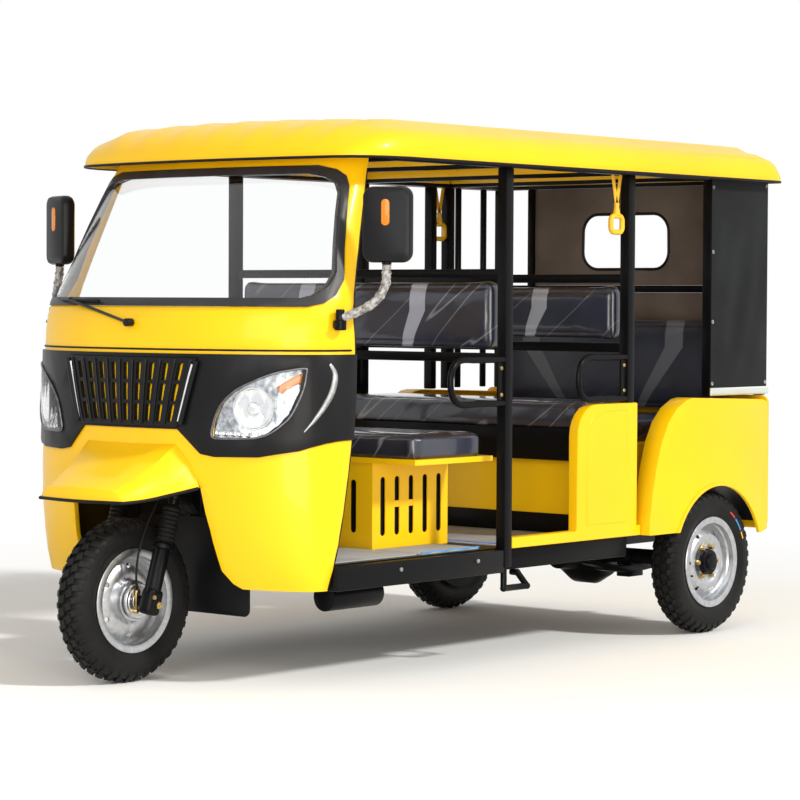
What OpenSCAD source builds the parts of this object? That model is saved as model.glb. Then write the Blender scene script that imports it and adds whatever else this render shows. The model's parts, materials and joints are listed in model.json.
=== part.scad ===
// Three-wheeled passenger motor tricycle: open cab, three bench rows, ribbed roof shell.
// X is the vehicle's left, Y runs rearward, Z is up; the origin is under the middle of the box.

/* [Wheels] */
// tyre radius
wheel_r = 265; // [255:1:275]
// tyre section width
tyre_w = 116; // [100:1:124]
// height of the tyre section over the bead seat
tyre_h = 113; // [109:1:119]
// front axle to rear axle
wheelbase = 2400; // [2380:5:2420]
// middle plane of each rear wheel, inside the pillar face
track_in = 40; // [34:1:50]

/* [Steering] */
// lean of the fork from upright, degrees
rake = 18; // [16:0.5:20]
// steering axis behind the fork legs
yoke_offset = 35; // [30:1:42]
// middle of each fork leg
leg_x = 120; // [112:1:126]
// steering stem radius
stem_r = 17; // [14:0.5:20]
// front axle pin radius
pin_r = 8; // [6:0.5:10]
// running clearance of shafts
running_gap = 0.05; // [0.02:0.01:0.1]

/* [Body] */
// outer face of the pillars
body_half = 650; // [646:1:654]
// driver's pillars behind the front axle, as a share of the wheelbase
b_share = 0.49166667; // [0.485:0.001:0.498]
// middle pillars ahead of the rear axle
c_ahead = 510; // [500:1:520]
// curtain pillars behind the rear axle
d_back = 15; // [5:1:25]
// rear posts behind the rear axle
e_back = 357; // [350:1:365]
// tube section of pillars and rails
tube = 40; // [34:1:42]
// top face of the chassis rails
rail_top = 390; // [386:1:394]
// height of the chassis rails
rail_h = 78; // [70:1:84]
// wall of the cab panels
cab_wall = 18; // [12:1:22]
// seam between pieces that are welded or bolted
seam = 0.2; // [0.1:0.05:0.4]

/* [Roof] */
// roof past the pillar face
roof_out = 50; // [44:1:60]
// lower edge of the roof
roof_edge = 1692; // [1690:1:1700]
// height of the roof shell over its edge
roof_h = 118; // [110:1:126]
// wall of the roof shell
roof_wall = 6; // [5:0.5:8]
// height of the roof ribs
rib_h = 9; // [4:1:12]
// roof past the rear posts
roof_tail = 58; // [53:1:73]

/* [Seats] */
// driver bench short of the pillar face, each side
bench_gap = 90; // [75:1:110]
// backrests and middle bench short of the pillar face, each side
back_gap = 50; // [44:1:65]
// rear bench short of the pillar face, each side
rear_gap = 150; // [144:1:170]
// thickness of the backrests
back_t = 60; // [50:1:64]
// width of the cooling slots in the engine box
slot_w = 26; // [18:1:32]

/* [Hidden] */
$fn = 64;
bead_r = wheel_r - tyre_h;
// the discs of the rims are drawn for a bead seat of 152 and follow it
disc = bead_r / 152;
b_y = wheelbase * b_share;
c_y = wheelbase - c_ahead;
d_y = wheelbase + d_back;
e_y = wheelbase + e_back;
roof_rear = e_y + roof_tail;
mid_y = (roof_rear - wheel_r) / 2;
half_track = body_half - track_in;
roof_half = body_half + roof_out;
bench_half = body_half - bench_gap;
back_half = body_half - back_gap;
rear_half = body_half - rear_gap;
// inner rear posts, with the rear curtain between them
inner_post = body_half - 200;
// front edge of the wings, their tail, and the front of the rear bench
wing_front = wheelbase - 443;
tail_y = e_y - 21;
rear_front = c_y + 226;
// main chassis rails
rail_in = 262;
rail_out = 312;
axle_z = wheel_r;
rail_bot = rail_top - rail_h;
tyre_half = tyre_w / 2;
post_in = body_half - tube;
post_foot = rail_bot + 18;
rail_z0 = roof_edge - 6;
rail_z1 = rail_z0 + tube;
// rail across the rear opening, with the rear window over it
mid_rail = rail_z0 - 416;
cross_y = [b_y, c_y, d_y, e_y];

yellow = [0.98, 0.74, 0.03];
black = [0.06, 0.06, 0.065];
navy = [0.09, 0.1, 0.14];
silver = [0.75, 0.76, 0.78];

module place() translate([0, -mid_y, 0]) children();
module pair() { children(); mirror([1, 0, 0]) children(); }
module box(x0, x1, y0, y1, z0, z1) translate([x0, y0, z0]) cube([x1 - x0, y1 - y0, z1 - z0]);
module rod(p, q, r) {
  v = q - p;
  translate(p) rotate([0, acos(v.z / norm(v)), atan2(v.y, v.x)]) cylinder(r = r, h = norm(v));
}
module ball(p, r) translate(p) sphere(r);
// plan outline with round corners, drawn upward from z0 to z1
module slab(x0, x1, y0, y1, z0, z1, r) {
  box(x0 + r, x1 - r, y0, y1, z0, z1);
  box(x0, x1, y0 + r, y1 - r, z0, z1);
  for (x = [x0 + r, x1 - r], y = [y0 + r, y1 - r])
    translate([x, y, z0]) cylinder(r = r, h = z1 - z0);
}
// the same outline stood on edge, thick along Y
module upright(x0, x1, y0, y1, z0, z1, r)
  translate([0, y1, 0]) rotate([90, 0, 0]) slab(x0, x1, z0, z1, 0, y1 - y0, r);
// an outline in X and Z carried through along Y
module front_cut(y0, y1) translate([0, y1, 0]) rotate([90, 0, 0]) linear_extrude(y1 - y0) children();
// an outline in Y and Z carried through along X
module side_cut(x0, x1)
  translate([x0, 0, 0]) rotate([90, 0, 90]) linear_extrude(x1 - x0) children();
// keeps a curved panel with its cuts as one faceted mesh
module panel() resize([0, 0, 0]) children();

// cab surface: half width, front line and side line of the plan curve at each height
cab_out = [[314, -32], [380, -18], [460, -8], [560, -2], [680, 1], [800, 2], [930, 2], [1075, 1],
  [1130, 0], [1180, -2], [1230, -7], [1290, -17], [1400, -36], [1550, -63], [1690, -88], [1760, -101]];
cab_w = [for (r = cab_out) [r[0], body_half + r[1]]];
cab_f = [[314, 120], [380, 90], [460, 62], [560, 38], [680, 24], [800, 20], [930, 18], [1075, 20],
  [1130, 26], [1180, 40], [1230, 66], [1290, 104], [1400, 183], [1550, 293], [1690, 396], [1760, 447]];
cab_s = [[314, 291], [380, 302], [460, 316], [560, 333], [680, 352], [800, 369], [930, 379], [1075, 383],
  [1130, 381], [1180, 378], [1230, 385], [1290, 402], [1400, 440], [1550, 494], [1690, 546], [1760, 572]];
round_out = 0.87;
// a point of the cab surface: t degrees round from the middle, height z, o outward
function cab(t, z, o = 0) = [
  (lookup(z, cab_w) + o) * sign(t) * pow(abs(sin(t)), round_out),
  lookup(z, cab_s) - (lookup(z, cab_s) - lookup(z, cab_f) + o) * pow(abs(cos(t)), round_out), z];

// solid between two grids of points, each a list of rows of equal length
module grid_solid(a, b) {
  n = len(a);
  m = len(a[0]);
  k = n * m;
  polyhedron(
    points = concat([for (r = a, p = r) p], [for (r = b, p = r) p]),
    faces = concat(
      [for (i = [0 : n - 2], j = [0 : m - 2], s = [0, 1])
        s == 0 ? [i * m + j, (i + 1) * m + j, i * m + j + 1]
               : [i * m + j + 1, (i + 1) * m + j, (i + 1) * m + j + 1]],
      [for (i = [0 : n - 2], j = [0 : m - 2], s = [0, 1])
        s == 0 ? [k + i * m + j, k + i * m + j + 1, k + (i + 1) * m + j]
               : [k + i * m + j + 1, k + (i + 1) * m + j + 1, k + (i + 1) * m + j]],
      [for (j = [0 : m - 2], s = [0, 1])
        s == 0 ? [j, j + 1, k + j] : [j + 1, k + j + 1, k + j]],
      [for (j = [0 : m - 2], s = [0, 1]) let (e = (n - 1) * m)
        s == 0 ? [e + j, k + e + j, e + j + 1] : [e + j + 1, k + e + j, k + e + j + 1]],
      [for (i = [0 : n - 2], s = [0, 1])
        s == 0 ? [i * m, k + i * m, (i + 1) * m] : [(i + 1) * m, k + i * m, k + (i + 1) * m]],
      [for (i = [0 : n - 2], s = [0, 1]) let (e = m - 1)
        s == 0 ? [i * m + e, (i + 1) * m + e, k + i * m + e]
               : [(i + 1) * m + e, k + (i + 1) * m + e, k + i * m + e]]));
}
// cab skin between two offsets, over rows of [height, reach in degrees]
function cab_rows(rows, o, cols, t_lo = -1) = [for (r = rows) [for (j = [0 : cols])
  cab(r[1] * t_lo + r[1] * (1 - t_lo) * j / cols, r[0], o)]];
module cab_skin(rows, inner, outer, cols = 24)
  grid_solid(cab_rows(rows, outer, cols), cab_rows(rows, inner, cols));
nose_rows = [for (z = [314, 380, 460, 560, 680, 800, 930, 1075]) [z, 90]];
upper_rows = [for (z = [1075 + seam, 1130, 1180, 1230, 1290, 1400, 1550, 1690, 1760]) [z, 90]];
mask_rows = [for (z = [700, 800, 930, 1075]) [z, 90]];
// gap between the nose and what is screwed onto it
skin_gap = 0.8;
screen_rows = [[1213, 64], [1225, 72], [1250, 78], [1300, 82], [1400, 79], [1500, 76.5], [1600, 74],
  [1635, 70], [1656, 62], [1670, 50]];
glass_rows = [[1241, 60], [1253, 67], [1277, 73], [1322, 76.5], [1400, 74], [1500, 71], [1580, 69],
  [1610, 65], [1630, 56], [1642, 45]];

// rows made larger all round by dz in height and dt in reach
function eased(rows, dz, dt) = [for (i = [0 : len(rows) - 1])
  [rows[i][0] + (i == 0 ? -dz : i == len(rows) - 1 ? dz : 0), rows[i][1] + dt]];

// outlines of the front, X and Z, drawn for a half width of 650 and stretched with the cab
stretch = body_half / 650;
module outline(p) scale([stretch, 1]) polygon(p);
mask_shape = [[-670, 1063], [670, 1063], [670, 800], [652, 790], [590, 760], [490, 740], [350, 738], [300, 746],
  [262, 780], [214, 822], [-214, 822], [-262, 780], [-300, 746], [-350, 738], [-490, 740], [-590, 760],
  [-652, 790], [-670, 800]];
lamp_shape = [[341, 801], [345, 845], [366, 898], [400, 936], [440, 964], [514, 1000], [560, 1014], [594, 1019],
  [596, 1000], [590, 948], [568, 876], [545, 842], [516, 816], [488, 804], [460, 799], [400, 797]];
grille_shape = [[-290, 1050], [290, 1050], [272, 985], [225, 840], [215, 829], [-215, 829], [-225, 840],
  [-272, 985]];
arch_shape = [[-420, 300], [-394, 309], [-355, 330], [-325, 370], [-311, 504], [-290, 640], [-214, 745],
  [214, 745], [290, 640], [311, 504], [325, 370], [355, 330], [394, 309], [420, 300]];

module lamp_cut(grow) front_cut(-100, 330) offset(delta = grow) outline(lamp_shape);

module chassis_frame() color(black) place() {
  pair() {
    box(rail_in, rail_out, 420, e_y - 37, rail_bot, rail_top);
    box(body_half - 46, body_half - 2, 304.4, b_y - tube / 2 - seam, rail_bot, rail_top);
    box(body_half - 110, body_half - 60, b_y + tube / 2 + seam, wing_front - 2, rail_bot, rail_top);
    for (y = [430, b_y - 420]) box(rail_out + seam, body_half - 46 - seam, y, y + 40, rail_bot + 4, rail_top);
    box(rail_out + seam, post_in - seam, b_y - tube / 2, b_y + tube / 2, rail_bot + 4, rail_top);
    box(rail_out + seam, body_half - 110 - seam, c_y + 10, c_y + 50, rail_bot + 4, rail_top);
  }
  for (y = [430, b_y - 420, b_y - 20, c_y + 10, e_y - 77])
    box(-rail_in + seam, rail_in - seam, y, y + 40, rail_bot + 4, rail_top);
}

// steering head tube with the neck that carries it
module neck() color(black) place() difference() {
  union() {
    translate([0, 0, axle_z]) rotate([-rake, 0, 0]) translate([0, yoke_offset, 430])
      cylinder(r = stem_r + 14, h = 160);
    side_cut(-28, 28) polygon([[190, axle_z + 411], [228, axle_z + 525], [262, axle_z + 525],
      [470, axle_z + 235], [470, rail_top + seam], [430, rail_top + seam]]);
  }
  translate([0, 0, axle_z]) rotate([-rake, 0, 0]) translate([0, yoke_offset, 380])
    cylinder(r = stem_r + running_gap, h = 260);
}

module floor_pan() color(black) place() difference() {
  box(-post_in + seam, post_in - seam, 330, rear_front + 24, rail_top, rail_top + 4);
  box(-240, 240, b_y - 368, b_y - 30, rail_top - 5, rail_top + 9);
  box(-28 - seam, 28 + seam, 320, 470 + seam, rail_top - 5, rail_top + 9);
  for (x = [-post_in, post_in]) box(x - 3, x + 3, 320, 336, rail_top - 5, rail_top + 9);
}

module floor_mat() color([0.5, 0.52, 0.54]) place() {
  difference() {
    slab(20 - post_in, post_in - 20, 345, b_y - 395, rail_top + 4, rail_top + 9, 30);
    box(-40, 40, 330, 480, rail_top, rail_top + 20);
  }
  slab(20 - post_in, post_in - 20, b_y + 35, c_y - 145, rail_top + 4, rail_top + 9, 30);
}

module sill_panels() color(yellow) place() pair() {
  side_cut(post_in, body_half + 2) polygon(concat(
    [[b_y + tube / 2 + seam, rail_top + 2], [b_y + tube / 2 + seam, rail_top + 40], [c_y - 320, rail_top + 40]],
    [for (a = [180 : -15 : 90]) [c_y - 210 + 110 * cos(a), 762 + 110 * sin(a)]],
    [[wing_front - 27, 872], [wing_front - 27, rail_top + 40], [wing_front - 2, rail_top + 40],
      [wing_front - 2, rail_top + 2]]));
}

wing_edge = [[0, rail_top + 2], [3, 440], [18, 530], [41, 630], [73, 725], [115, 795], [168, 845], [233, 876],
  [273, 882]];
wing_shape = concat([for (p = wing_edge) [wing_front + p.x, p.y]], [[tail_y - 36, 866], [tail_y - 12, 858],
  [tail_y, 835], [tail_y, 372], [tail_y - 46, 360]]);
module arch(r, x0, x1)
  translate([x0, wheelbase, axle_z]) rotate([0, 90, 0]) cylinder(r = r, h = x1 - x0);
module rear_wings() color(yellow) place() pair() {
  difference() {
    union() {
      side_cut(body_half + 32, body_half + 38) polygon(wing_shape);
      side_cut(body_half - 38, body_half + 32.5) difference() {
        polygon(wing_shape);
        offset(delta = -5) polygon(wing_shape);
        translate([wheelbase - 400, 300]) square([tail_y - wheelbase + 424, 150]);
      }
      intersection() {
        arch(wheel_r + 35, body_half + 34, body_half + 46);
        side_cut(body_half + 30, body_half + 50) polygon(wing_shape);
      }
    }
    arch(wheel_r + 21, body_half - 50, body_half + 50);
    box(body_half - 50, body_half + 50, wing_front - 7, wheelbase, 300, rail_top + 1);
    box(body_half - 50, body_half + 30, wheelbase - 280, wheelbase + 280, 300, 560);
  }
}

lamp_x = body_half - 50;
module rear_panel() color(yellow) place() difference() {
  upright(-body_half - 32, body_half + 32, tail_y + seam, tail_y + 12, 372, 880, 30);
  for (x = [-lamp_x, lamp_x]) translate([x, tail_y - 36, 690]) rotate([-90, 0, 0]) cylinder(r = 20, h = 80);
  for (x = [-120, 120]) translate([x, tail_y - 36, 470]) rotate([-90, 0, 0]) cylinder(r = 4.5, h = 80);
}

module tail_lamps() color([0.7, 0.05, 0.03]) place() for (x = [-lamp_x, lamp_x]) {
  upright(x - 38, x + 38, tail_y + 12 + seam, tail_y + 34, 600, 780, 14);
  translate([x, tail_y + 1, 690]) rotate([-90, 0, 0]) cylinder(r = 19.4, h = 13);
}

module cab_nose() color(yellow) place() panel() difference() {
  cab_skin(nose_rows, -cab_wall, 0);
  front_cut(-100, 330) polygon(arch_shape);
  for (m = [0, 1]) mirror([m, 0, 0]) lamp_cut(-2);
}

module cab_upper() color(yellow) place() panel() difference() {
  cab_skin(upper_rows, -cab_wall, 0);
  cab_skin(screen_rows, -26, 6, 32);
}

module nose_mask() color(black) place() panel() difference() {
  intersection() {
    cab_skin(mask_rows, skin_gap, 9);
    front_cut(-100, 500) outline(mask_shape);
  }
  for (m = [0, 1]) mirror([m, 0, 0]) lamp_cut(0);
  front_cut(-100, 330) outline(grille_shape);
}

module grille() color(black) place() panel() difference() {
  intersection() {
    cab_skin([for (z = [815, 930, 1060]) [z, 30]], skin_gap, 15, 8);
    front_cut(-100, 330) offset(delta = -0.3) outline(grille_shape);
  }
  for (i = [-4 : 4], k = [0 : 2]) {
    z0 = 846 + 66 * k;
    z1 = z0 + 54;
    x0 = i * (46 + (z0 - 830) * 0.06);
    x1 = i * (46 + (z1 - 830) * 0.06);
    front_cut(-100, 330) outline([[x0 - 9, z0], [x0 + 9, z0], [x1 + 10, z1], [x1 - 10, z1]]);
  }
}

module headlamp_lenses() color([0.9, 0.93, 0.95]) place() panel()
  for (m = [0, 1]) mirror([m, 0, 0]) intersection() {
    grid_solid([for (z = [780, 850, 950, 1030]) [for (t = [24 : 4 : 68]) cab(t, z, 12)]],
      [for (z = [780, 850, 950, 1030]) [for (t = [24 : 4 : 68]) cab(t, z, 6)]]);
    lamp_cut(-0.4);
  }

module headlamp_bowls() color(silver) place() panel()
  for (m = [0, 1]) mirror([m, 0, 0]) intersection() {
    grid_solid([for (z = [780, 850, 950, 1030]) [for (t = [24 : 4 : 68]) cab(t, z, -4)]],
      [for (z = [780, 850, 950, 1030]) [for (t = [24 : 4 : 68]) cab(t, z, -40)]]);
    lamp_cut(-2.4);
  }

// rows of the mudguard from its front lip back to the nose: y, half top, top z, half foot, foot z
guard_rows = [[-222, 128, 597, 176, 597], [-214, 140, 634, 190, 597], [-130, 164, 670, 212, 602],
  [-40, 184, 716, 240, 616], [46, 204, 786, 292, 638]];
function guard_grid(o) = [for (i = [0 : len(guard_rows) - 1]) let (g = guard_rows[i], y = g[0] + (i == 0 ? o : 0),
    bow = i < 2 ? 26 : i == 2 ? 14 : 0, zt = i == 0 ? g[2] : g[2] - o, a = g[1] - o, b = g[3] - o)
  [for (s = [[-b, g[4], 1], [-(a + b) / 2 - 8, (zt + g[4]) / 2 + 8, 0.8], [-a, zt, 0.6], [-a / 2, zt + 5, 0.15],
    [0, zt + 6, 0], [a / 2, zt + 5, 0.15], [a, zt, 0.6], [(a + b) / 2 + 8, (zt + g[4]) / 2 + 8, 0.8],
    [b, g[4], 1]]) [s[0], y + bow * s[2] + (i == 0 ? 0 : i == 1 ? o : 0), i == 0 ? g[2] : s[1]]]];
module front_mudguard() color(yellow) place() panel() difference() {
  grid_solid(guard_grid(0), guard_grid(6));
  cab_skin(nose_rows, -80, 0.4);
}

module splash_guard() color(black) place() upright(-255, 255, 316, 322, 200, axle_z + 253.5, 25);

// the hole that the glass fills, with the same facets on the glass and on its seal
module glass_plug(dz, dt) cab_skin(eased(glass_rows, dz, dt), -34, 20, 32);
module windscreen() color([0.75, 0.86, 0.9, 0.4]) place() panel() intersection() {
  glass_plug(-0.4, -0.08);
  cab_skin(eased(glass_rows, 10, 3), -11, -6, 32);
}
module windscreen_seal() color(black) place() panel() difference() {
  cab_skin(eased(screen_rows, -0.4, -0.06), -26, 6, 32);
  glass_plug(0, 0);
}

module wiper() color(black) place() {
  rod(cab(0, 1160, 4.2), cab(0, 1160, 30), 13);
  rod(cab(0, 1160, 22), cab(-27, 1232, 26), 5);
  ball(cab(-27, 1232, 22), 9);
  rod(cab(-38, 1236, 16), cab(-27, 1233, 20), 6);
  rod(cab(-27, 1233, 20), cab(-13, 1228, 16), 6);
}

mirror_c = [body_half + 104, 419, 1474];
mirror_foot = body_half + 9.8;
module mirror_heads() color(black) place() pair()
  translate(mirror_c) rotate([0, 0, 20]) upright(-82, 82, -24, 24, -120, 120, 34);
module mirror_arms() color(silver) place() pair() {
  translate([mirror_foot, 300, 1140]) cylinder(r = 20, h = 66);
  rod([mirror_foot, 300, 1172], [mirror_foot + 65, 372, 1240], 13);
  ball([mirror_foot + 65, 372, 1240], 14);
  rod([mirror_foot + 65, 372, 1240], [mirror_c.x - 2, 416, 1348.3], 13);
}

// roof stations from the front lip to the rear: y, inset of the half width, height, sweep of the row
roof_rows = [[330, 140, 0, 50], [338, 88, 34, 66], [360, 52, 62, 78], [400, 24, 86, 84], [455, 8, 103, 80],
  [530, 0, 113, 60], [640, 0, 118, 30], [800, 0, 118, 0], [e_y - 157, 0, 118, 0], [e_y - 37, 0, 116, 0],
  [roof_rear - 40, 3, 104, 0], [roof_rear - 12, 8, 70, 0], [roof_rear, 16, 0, 0]];
roof_side = [[1, 0], [0.996, 0.3], [0.982, 0.56], [0.95, 0.76], [0.9, 0.89], [0.84, 0.96]];
function rib(i, n) = i % 4 == 1 || i % 4 == 2 ? rib_h : 0;
function roof_line(g, o) = let (w = roof_half - g[1] - o, h = max(g[2] * roof_h / 118 - o, 0),
    e = [for (p = roof_side) [p[0] * w, h * p[1]]], lift = h / 118)
  concat([for (p = e) [-p[0], p[1]]],
    [for (i = [0 : 25]) let (x = -0.78 + 1.56 * i / 25) [x * w, h + lift * (18 * (1 - x * x) + rib(i, 25))]],
    [for (i = [5 : -1 : 0]) [e[i][0], e[i][1]]]);
function roof_grid(o) = [for (k = [0 : len(roof_rows) - 1]) let (g = roof_rows[k],
    y = g[0] + (k < 6 ? o : k > 9 ? -o : 0), z = roof_edge - (o > 0 ? 1 : 0))
  [for (p = roof_line(g, o)) [p[0], y + g[3] * pow(p[0] / (roof_half - g[1]), 2), z + p[1]]]];
module dome(o) {
  g = roof_grid(o);
  n = len(g);
  m = len(g[0]);
  polyhedron(points = [for (r = g, p = r) p], faces = concat(
    [for (i = [0 : n - 2], j = [0 : m - 2], s = [0, 1])
      s == 0 ? [i * m + j, (i + 1) * m + j, i * m + j + 1]
             : [i * m + j + 1, (i + 1) * m + j, (i + 1) * m + j + 1]],
    [concat([for (j = [0 : m - 1]) j], [for (i = [1 : n - 1]) i * m + m - 1],
      [for (j = [m - 2 : -1 : 0]) (n - 1) * m + j], [for (i = [n - 2 : -1 : 1]) i * m])]));
}
module roof_shell() color(yellow) place() panel() {
  difference() {
    dome(0);
    dome(roof_wall);
  }
  intersection() {
    dome(0.5);
    pair() box(post_in - 30, post_in + 10, 620, e_y - 17, rail_z1 + seam, roof_edge + 158);
  }
}

module body_posts() color(black) place() {
  pair() {
    box(post_in, body_half, b_y - tube / 2, b_y + tube / 2, post_foot, rail_z0 - seam);
    box(post_in, body_half, c_y - tube / 2, c_y + tube / 2, 872 + seam, rail_z0 - seam);
    box(post_in, body_half, d_y - tube / 2, d_y + tube / 2, 882 + seam, rail_z0 - seam);
    box(post_in, body_half, e_y - 15, e_y + 15, 880 + seam, rail_z0 - seam);
    box(inner_post, inner_post + 30, e_y - 15, e_y + 15, 880 + seam, rail_z0 - seam);
  }
  box(-body_half, -post_in, d_y - 125, d_y - 93, 882 + seam, rail_z0 - seam);
  for (y = [d_y + 70, e_y - 109])
    translate([-body_half + 16, y, 884]) cylinder(r = 13, h = rail_z0 - seam - 884);
}

module body_rails() color(black) place() {
  pair() box(post_in, body_half, 600, e_y + 15, rail_z0, rail_z1);
  for (y = concat([620], cross_y))
    box(-post_in + seam, post_in - seam, y - 15, y + 15, rail_z0, rail_z1);
  for (z = [[1025, 1057 - seam], [1313 + seam, 1343]])
    box(-post_in + seam, post_in - seam, b_y - 15, b_y + 15, z[0], z[1]);
  for (z = [[1052, 1085 - seam], [1301 + seam, 1332]])
    box(-post_in + seam, post_in - seam, c_y - 15, c_y + 15, z[0], z[1]);
  box(-inner_post + seam, inner_post - seam, e_y - 12, e_y + 12, mid_rail, mid_rail + 28);
  pair() box(inner_post + 30 + seam, post_in - seam, e_y - 12, e_y + 12, mid_rail, mid_rail + 28);
}

box_y0 = b_y - 385;
box_y1 = b_y + 15;
module engine_box() color(yellow) place() {
  z0 = rail_top + 4;
  difference() {
    box(-370, 370, box_y0, box_y0 + 4, z0, 688);
    for (i = [-3 : 3])
      upright(i * 95 - slot_w / 2, i * 95 + slot_w / 2, box_y0 - 15, box_y0 + 25, 450, 630, slot_w / 2 - 0.5);
  }
  for (m = [0, 1]) mirror([m, 0, 0]) difference() {
    box(366, 370, box_y0 + 4 + seam, box_y1, z0, 688);
    for (i = [0 : 4]) translate([0, box_y0 + 55 + i * 74, 0]) rotate([0, 0, 90])
      upright(-slot_w / 2, slot_w / 2, -400, -340, 440, 640, slot_w / 2 - 0.5);
  }
  box(-366 + seam, 366 - seam, box_y1 - 4, box_y1, z0, 688);
  box(-bench_half - 4, bench_half + 4, box_y0 - 9, box_y1 + 5, 688 + seam, 706);
}

module driver_cushion() color(navy) place() slab(-bench_half, bench_half, box_y0 - 3, box_y1 + 1, 706, 786, 45);

module front_backrest() color(navy) place()
  upright(-back_half, back_half, b_y - 20, b_y - 20 + back_t, 1057, 1313, 40);
module middle_backrest() color(navy) place()
  upright(-back_half, back_half, c_y - 20, c_y - 20 + back_t, 1085, 1301, 40);

seat_y = c_y - 200;
module middle_seat_frame() color(black) place() {
  box(-back_half, back_half, seat_y + 15, seat_y + 35, 664, 780);
  box(-back_half, back_half, seat_y + 35 + seam, seat_y + 350, 766, 780);
  box(-back_half, back_half, seat_y + 60, seat_y + 95, rail_top + 4, rail_top + 78 - seam);
}
module middle_seat_riser() color(yellow) place()
  box(-back_half, back_half, seat_y + 62, seat_y + 78, rail_top + 78, 766 - seam);
module middle_cushion() color(navy) place() slab(-back_half, back_half, seat_y, seat_y + 355, 780, 872, 45);

module rear_seat_base() color(yellow) place() {
  z0 = rail_top + 4;
  box(-rear_half - 4, rear_half + 4, rear_front + 6, rear_front + 23, z0, 700);
  for (m = [0, 1]) mirror([m, 0, 0])
    box(rear_half - 12, rear_half + 4, rear_front + 24 + seam, e_y - 137, z0 - 4, 700);
  box(-rear_half - 4, rear_half + 4, rear_front, e_y - 137, 700 + seam, 716);
}
module rear_cushion() color(navy) place() slab(-rear_half, rear_half, rear_front + 2, e_y - 137, 716, 806, 45);
module rear_backrest() color(navy) place()
  upright(-rear_half - 50, rear_half + 50, e_y - 157, e_y - 82, 806 + seam, 1180, 45);

module rear_curtain() color([0.36, 0.33, 0.3]) place() {
  difference() {
    box(-inner_post + seam, inner_post - seam, e_y - 2, e_y + 2, mid_rail + 28 + seam, rail_z0 - seam);
    upright(-205, 205, e_y - 20, e_y + 20, rail_z0 - 324, rail_z0 - 106, 45);
  }
  box(-inner_post + seam, inner_post - seam, e_y - 2, e_y + 2, 884, mid_rail - seam);
}

module side_curtain() color([0.13, 0.13, 0.14]) place()
  box(body_half + seam, body_half + 4.2, d_y - 22, e_y + 16, 884, roof_edge + 24);

module grab_handles() color(black) place() pair() for (y = [b_y, c_y]) {
  x = body_half - 12;
  e = y - tube / 2 - seam;
  h = [[x, e, 1036], [x, e - 225, 1036], [x, e - 268, 1012], [x, e - 282, 962], [x, e - 268, 912],
    [x, e - 225, 888], [x, e, 888]];
  for (i = [0 : 5]) rod(h[i], h[i + 1], 11);
  for (i = [1 : 5]) ball(h[i], 12);
}

module strap(x, y) {
  box(x - 2, x + 2, y - 14, y + 14, rail_z0 - 130, rail_z0 - seam);
  difference() {
    translate([x - 5, y, rail_z0 - 156]) rotate([0, 90, 0]) cylinder(r = 33, h = 10);
    translate([x - 6, y, rail_z0 - 156]) rotate([0, 90, 0]) cylinder(r = 22, h = 12);
  }
}
module hand_straps() color([0.95, 0.7, 0.05]) place() {
  strap(body_half - 20, c_y - 70);
  strap(-body_half + 20, d_y - 56);
}

// axle tube, brake plates and differential turned as one profile, with the pinion nose forward
module rear_axle() color(black) place() translate([0, wheelbase, axle_z]) {
  end = half_track + 15;
  plate = half_track - 100;
  rotate([0, 90, 0]) rotate_extrude() polygon([
    [0, -end], [15, -end], [15, -plate - 14], [105, -plate - 14], [105, -plate], [30, -plate],
    [30, -20], [84, -5], [116, 50], [116, 130], [84, 185], [30, 200], [30, plate],
    [105, plate], [105, plate + 14], [15, plate + 14], [15, end], [0, end]]);
  translate([90, 0, 0]) rotate([90, 0, 0]) cylinder(r1 = 70, r2 = 48, h = 200);
  pair() box(255, 319, -40, 40, -32, 20);
}

// leaf pack: arcs about a centre above the axle, shackled under the rails
function leaf_arc(r, half) = [for (a = [-half : half / 8 : half]) [r * sin(a), 1000 - r * cos(a)]];
module leaf(x0, x1, r, half) translate([0, wheelbase, axle_z - 33.1]) side_cut(x0, x1)
  polygon(concat(leaf_arc(r, half), [for (i = [16 : -1 : 0]) leaf_arc(r + 9, half)[i]]));
module leaf_springs() color(black) place() pair() {
  leaf(262, 312, 1000, 21);
  leaf(262, 312, 1008.5, 16);
  leaf(262, 312, 1017, 11);
  for (s = [-1, 1]) translate([0, s * 358, 0])
    box(268, 306, wheelbase - 16, wheelbase + 16, axle_z - 32 + 56, rail_bot - seam);
  box(258, 316, wheelbase - 45, wheelbase + 45, axle_z - 76, axle_z - 56);
}

module engine_block() color([0.45, 0.46, 0.47]) place() {
  box(-150, 150, b_y - 340, b_y - 70, 250, 470);
  box(-95, 95, b_y - 300, b_y - 120, 469, 610);
  box(-120, 120, b_y - 380 + seam, b_y - tube / 2 - seam, rail_bot + 18, rail_top - 10);
}

module drive_shaft() color(black) place() {
  rod([70, b_y - 69.2, 284], [90, wheelbase - 200.8, axle_z], 22);
}

module exhaust() color(black) place() translate([0, b_y, rail_bot]) {
  translate([400, -660, -52]) rotate([-90, 0, 0]) cylinder(r = 46, h = 250);
  box(385, 415, -416, -390, -36, 4 - seam);
  translate([400, -420, -40]) rotate([-90, 0, 0]) cylinder(r = 20, h = 36);
  rod([400, -480, -52], [161.2, -287, -12], 17);
}

module foot_steps() color(black) place() pair() {
  rod([body_half - 20, b_y, post_foot - seam], [body_half - 20, b_y, 256], 11);
  ball([body_half - 20, b_y, 256], 12);
  rod([body_half - 20, b_y, 256], [body_half - 20, b_y + 130, 256], 11);
  ball([body_half - 20, b_y + 130, 256], 12);
  rod([body_half - 20, b_y + 130, 256], [body_half - 62, b_y + 130, rail_bot - 12.4], 11);
  rod([body_half - 62, b_y + 130, rail_bot - 12.4], [body_half - 90, b_y + 130, rail_bot - 12.4], 11);
  ball([body_half - 62, b_y + 130, rail_bot - 12.4], 12);
}

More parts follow.
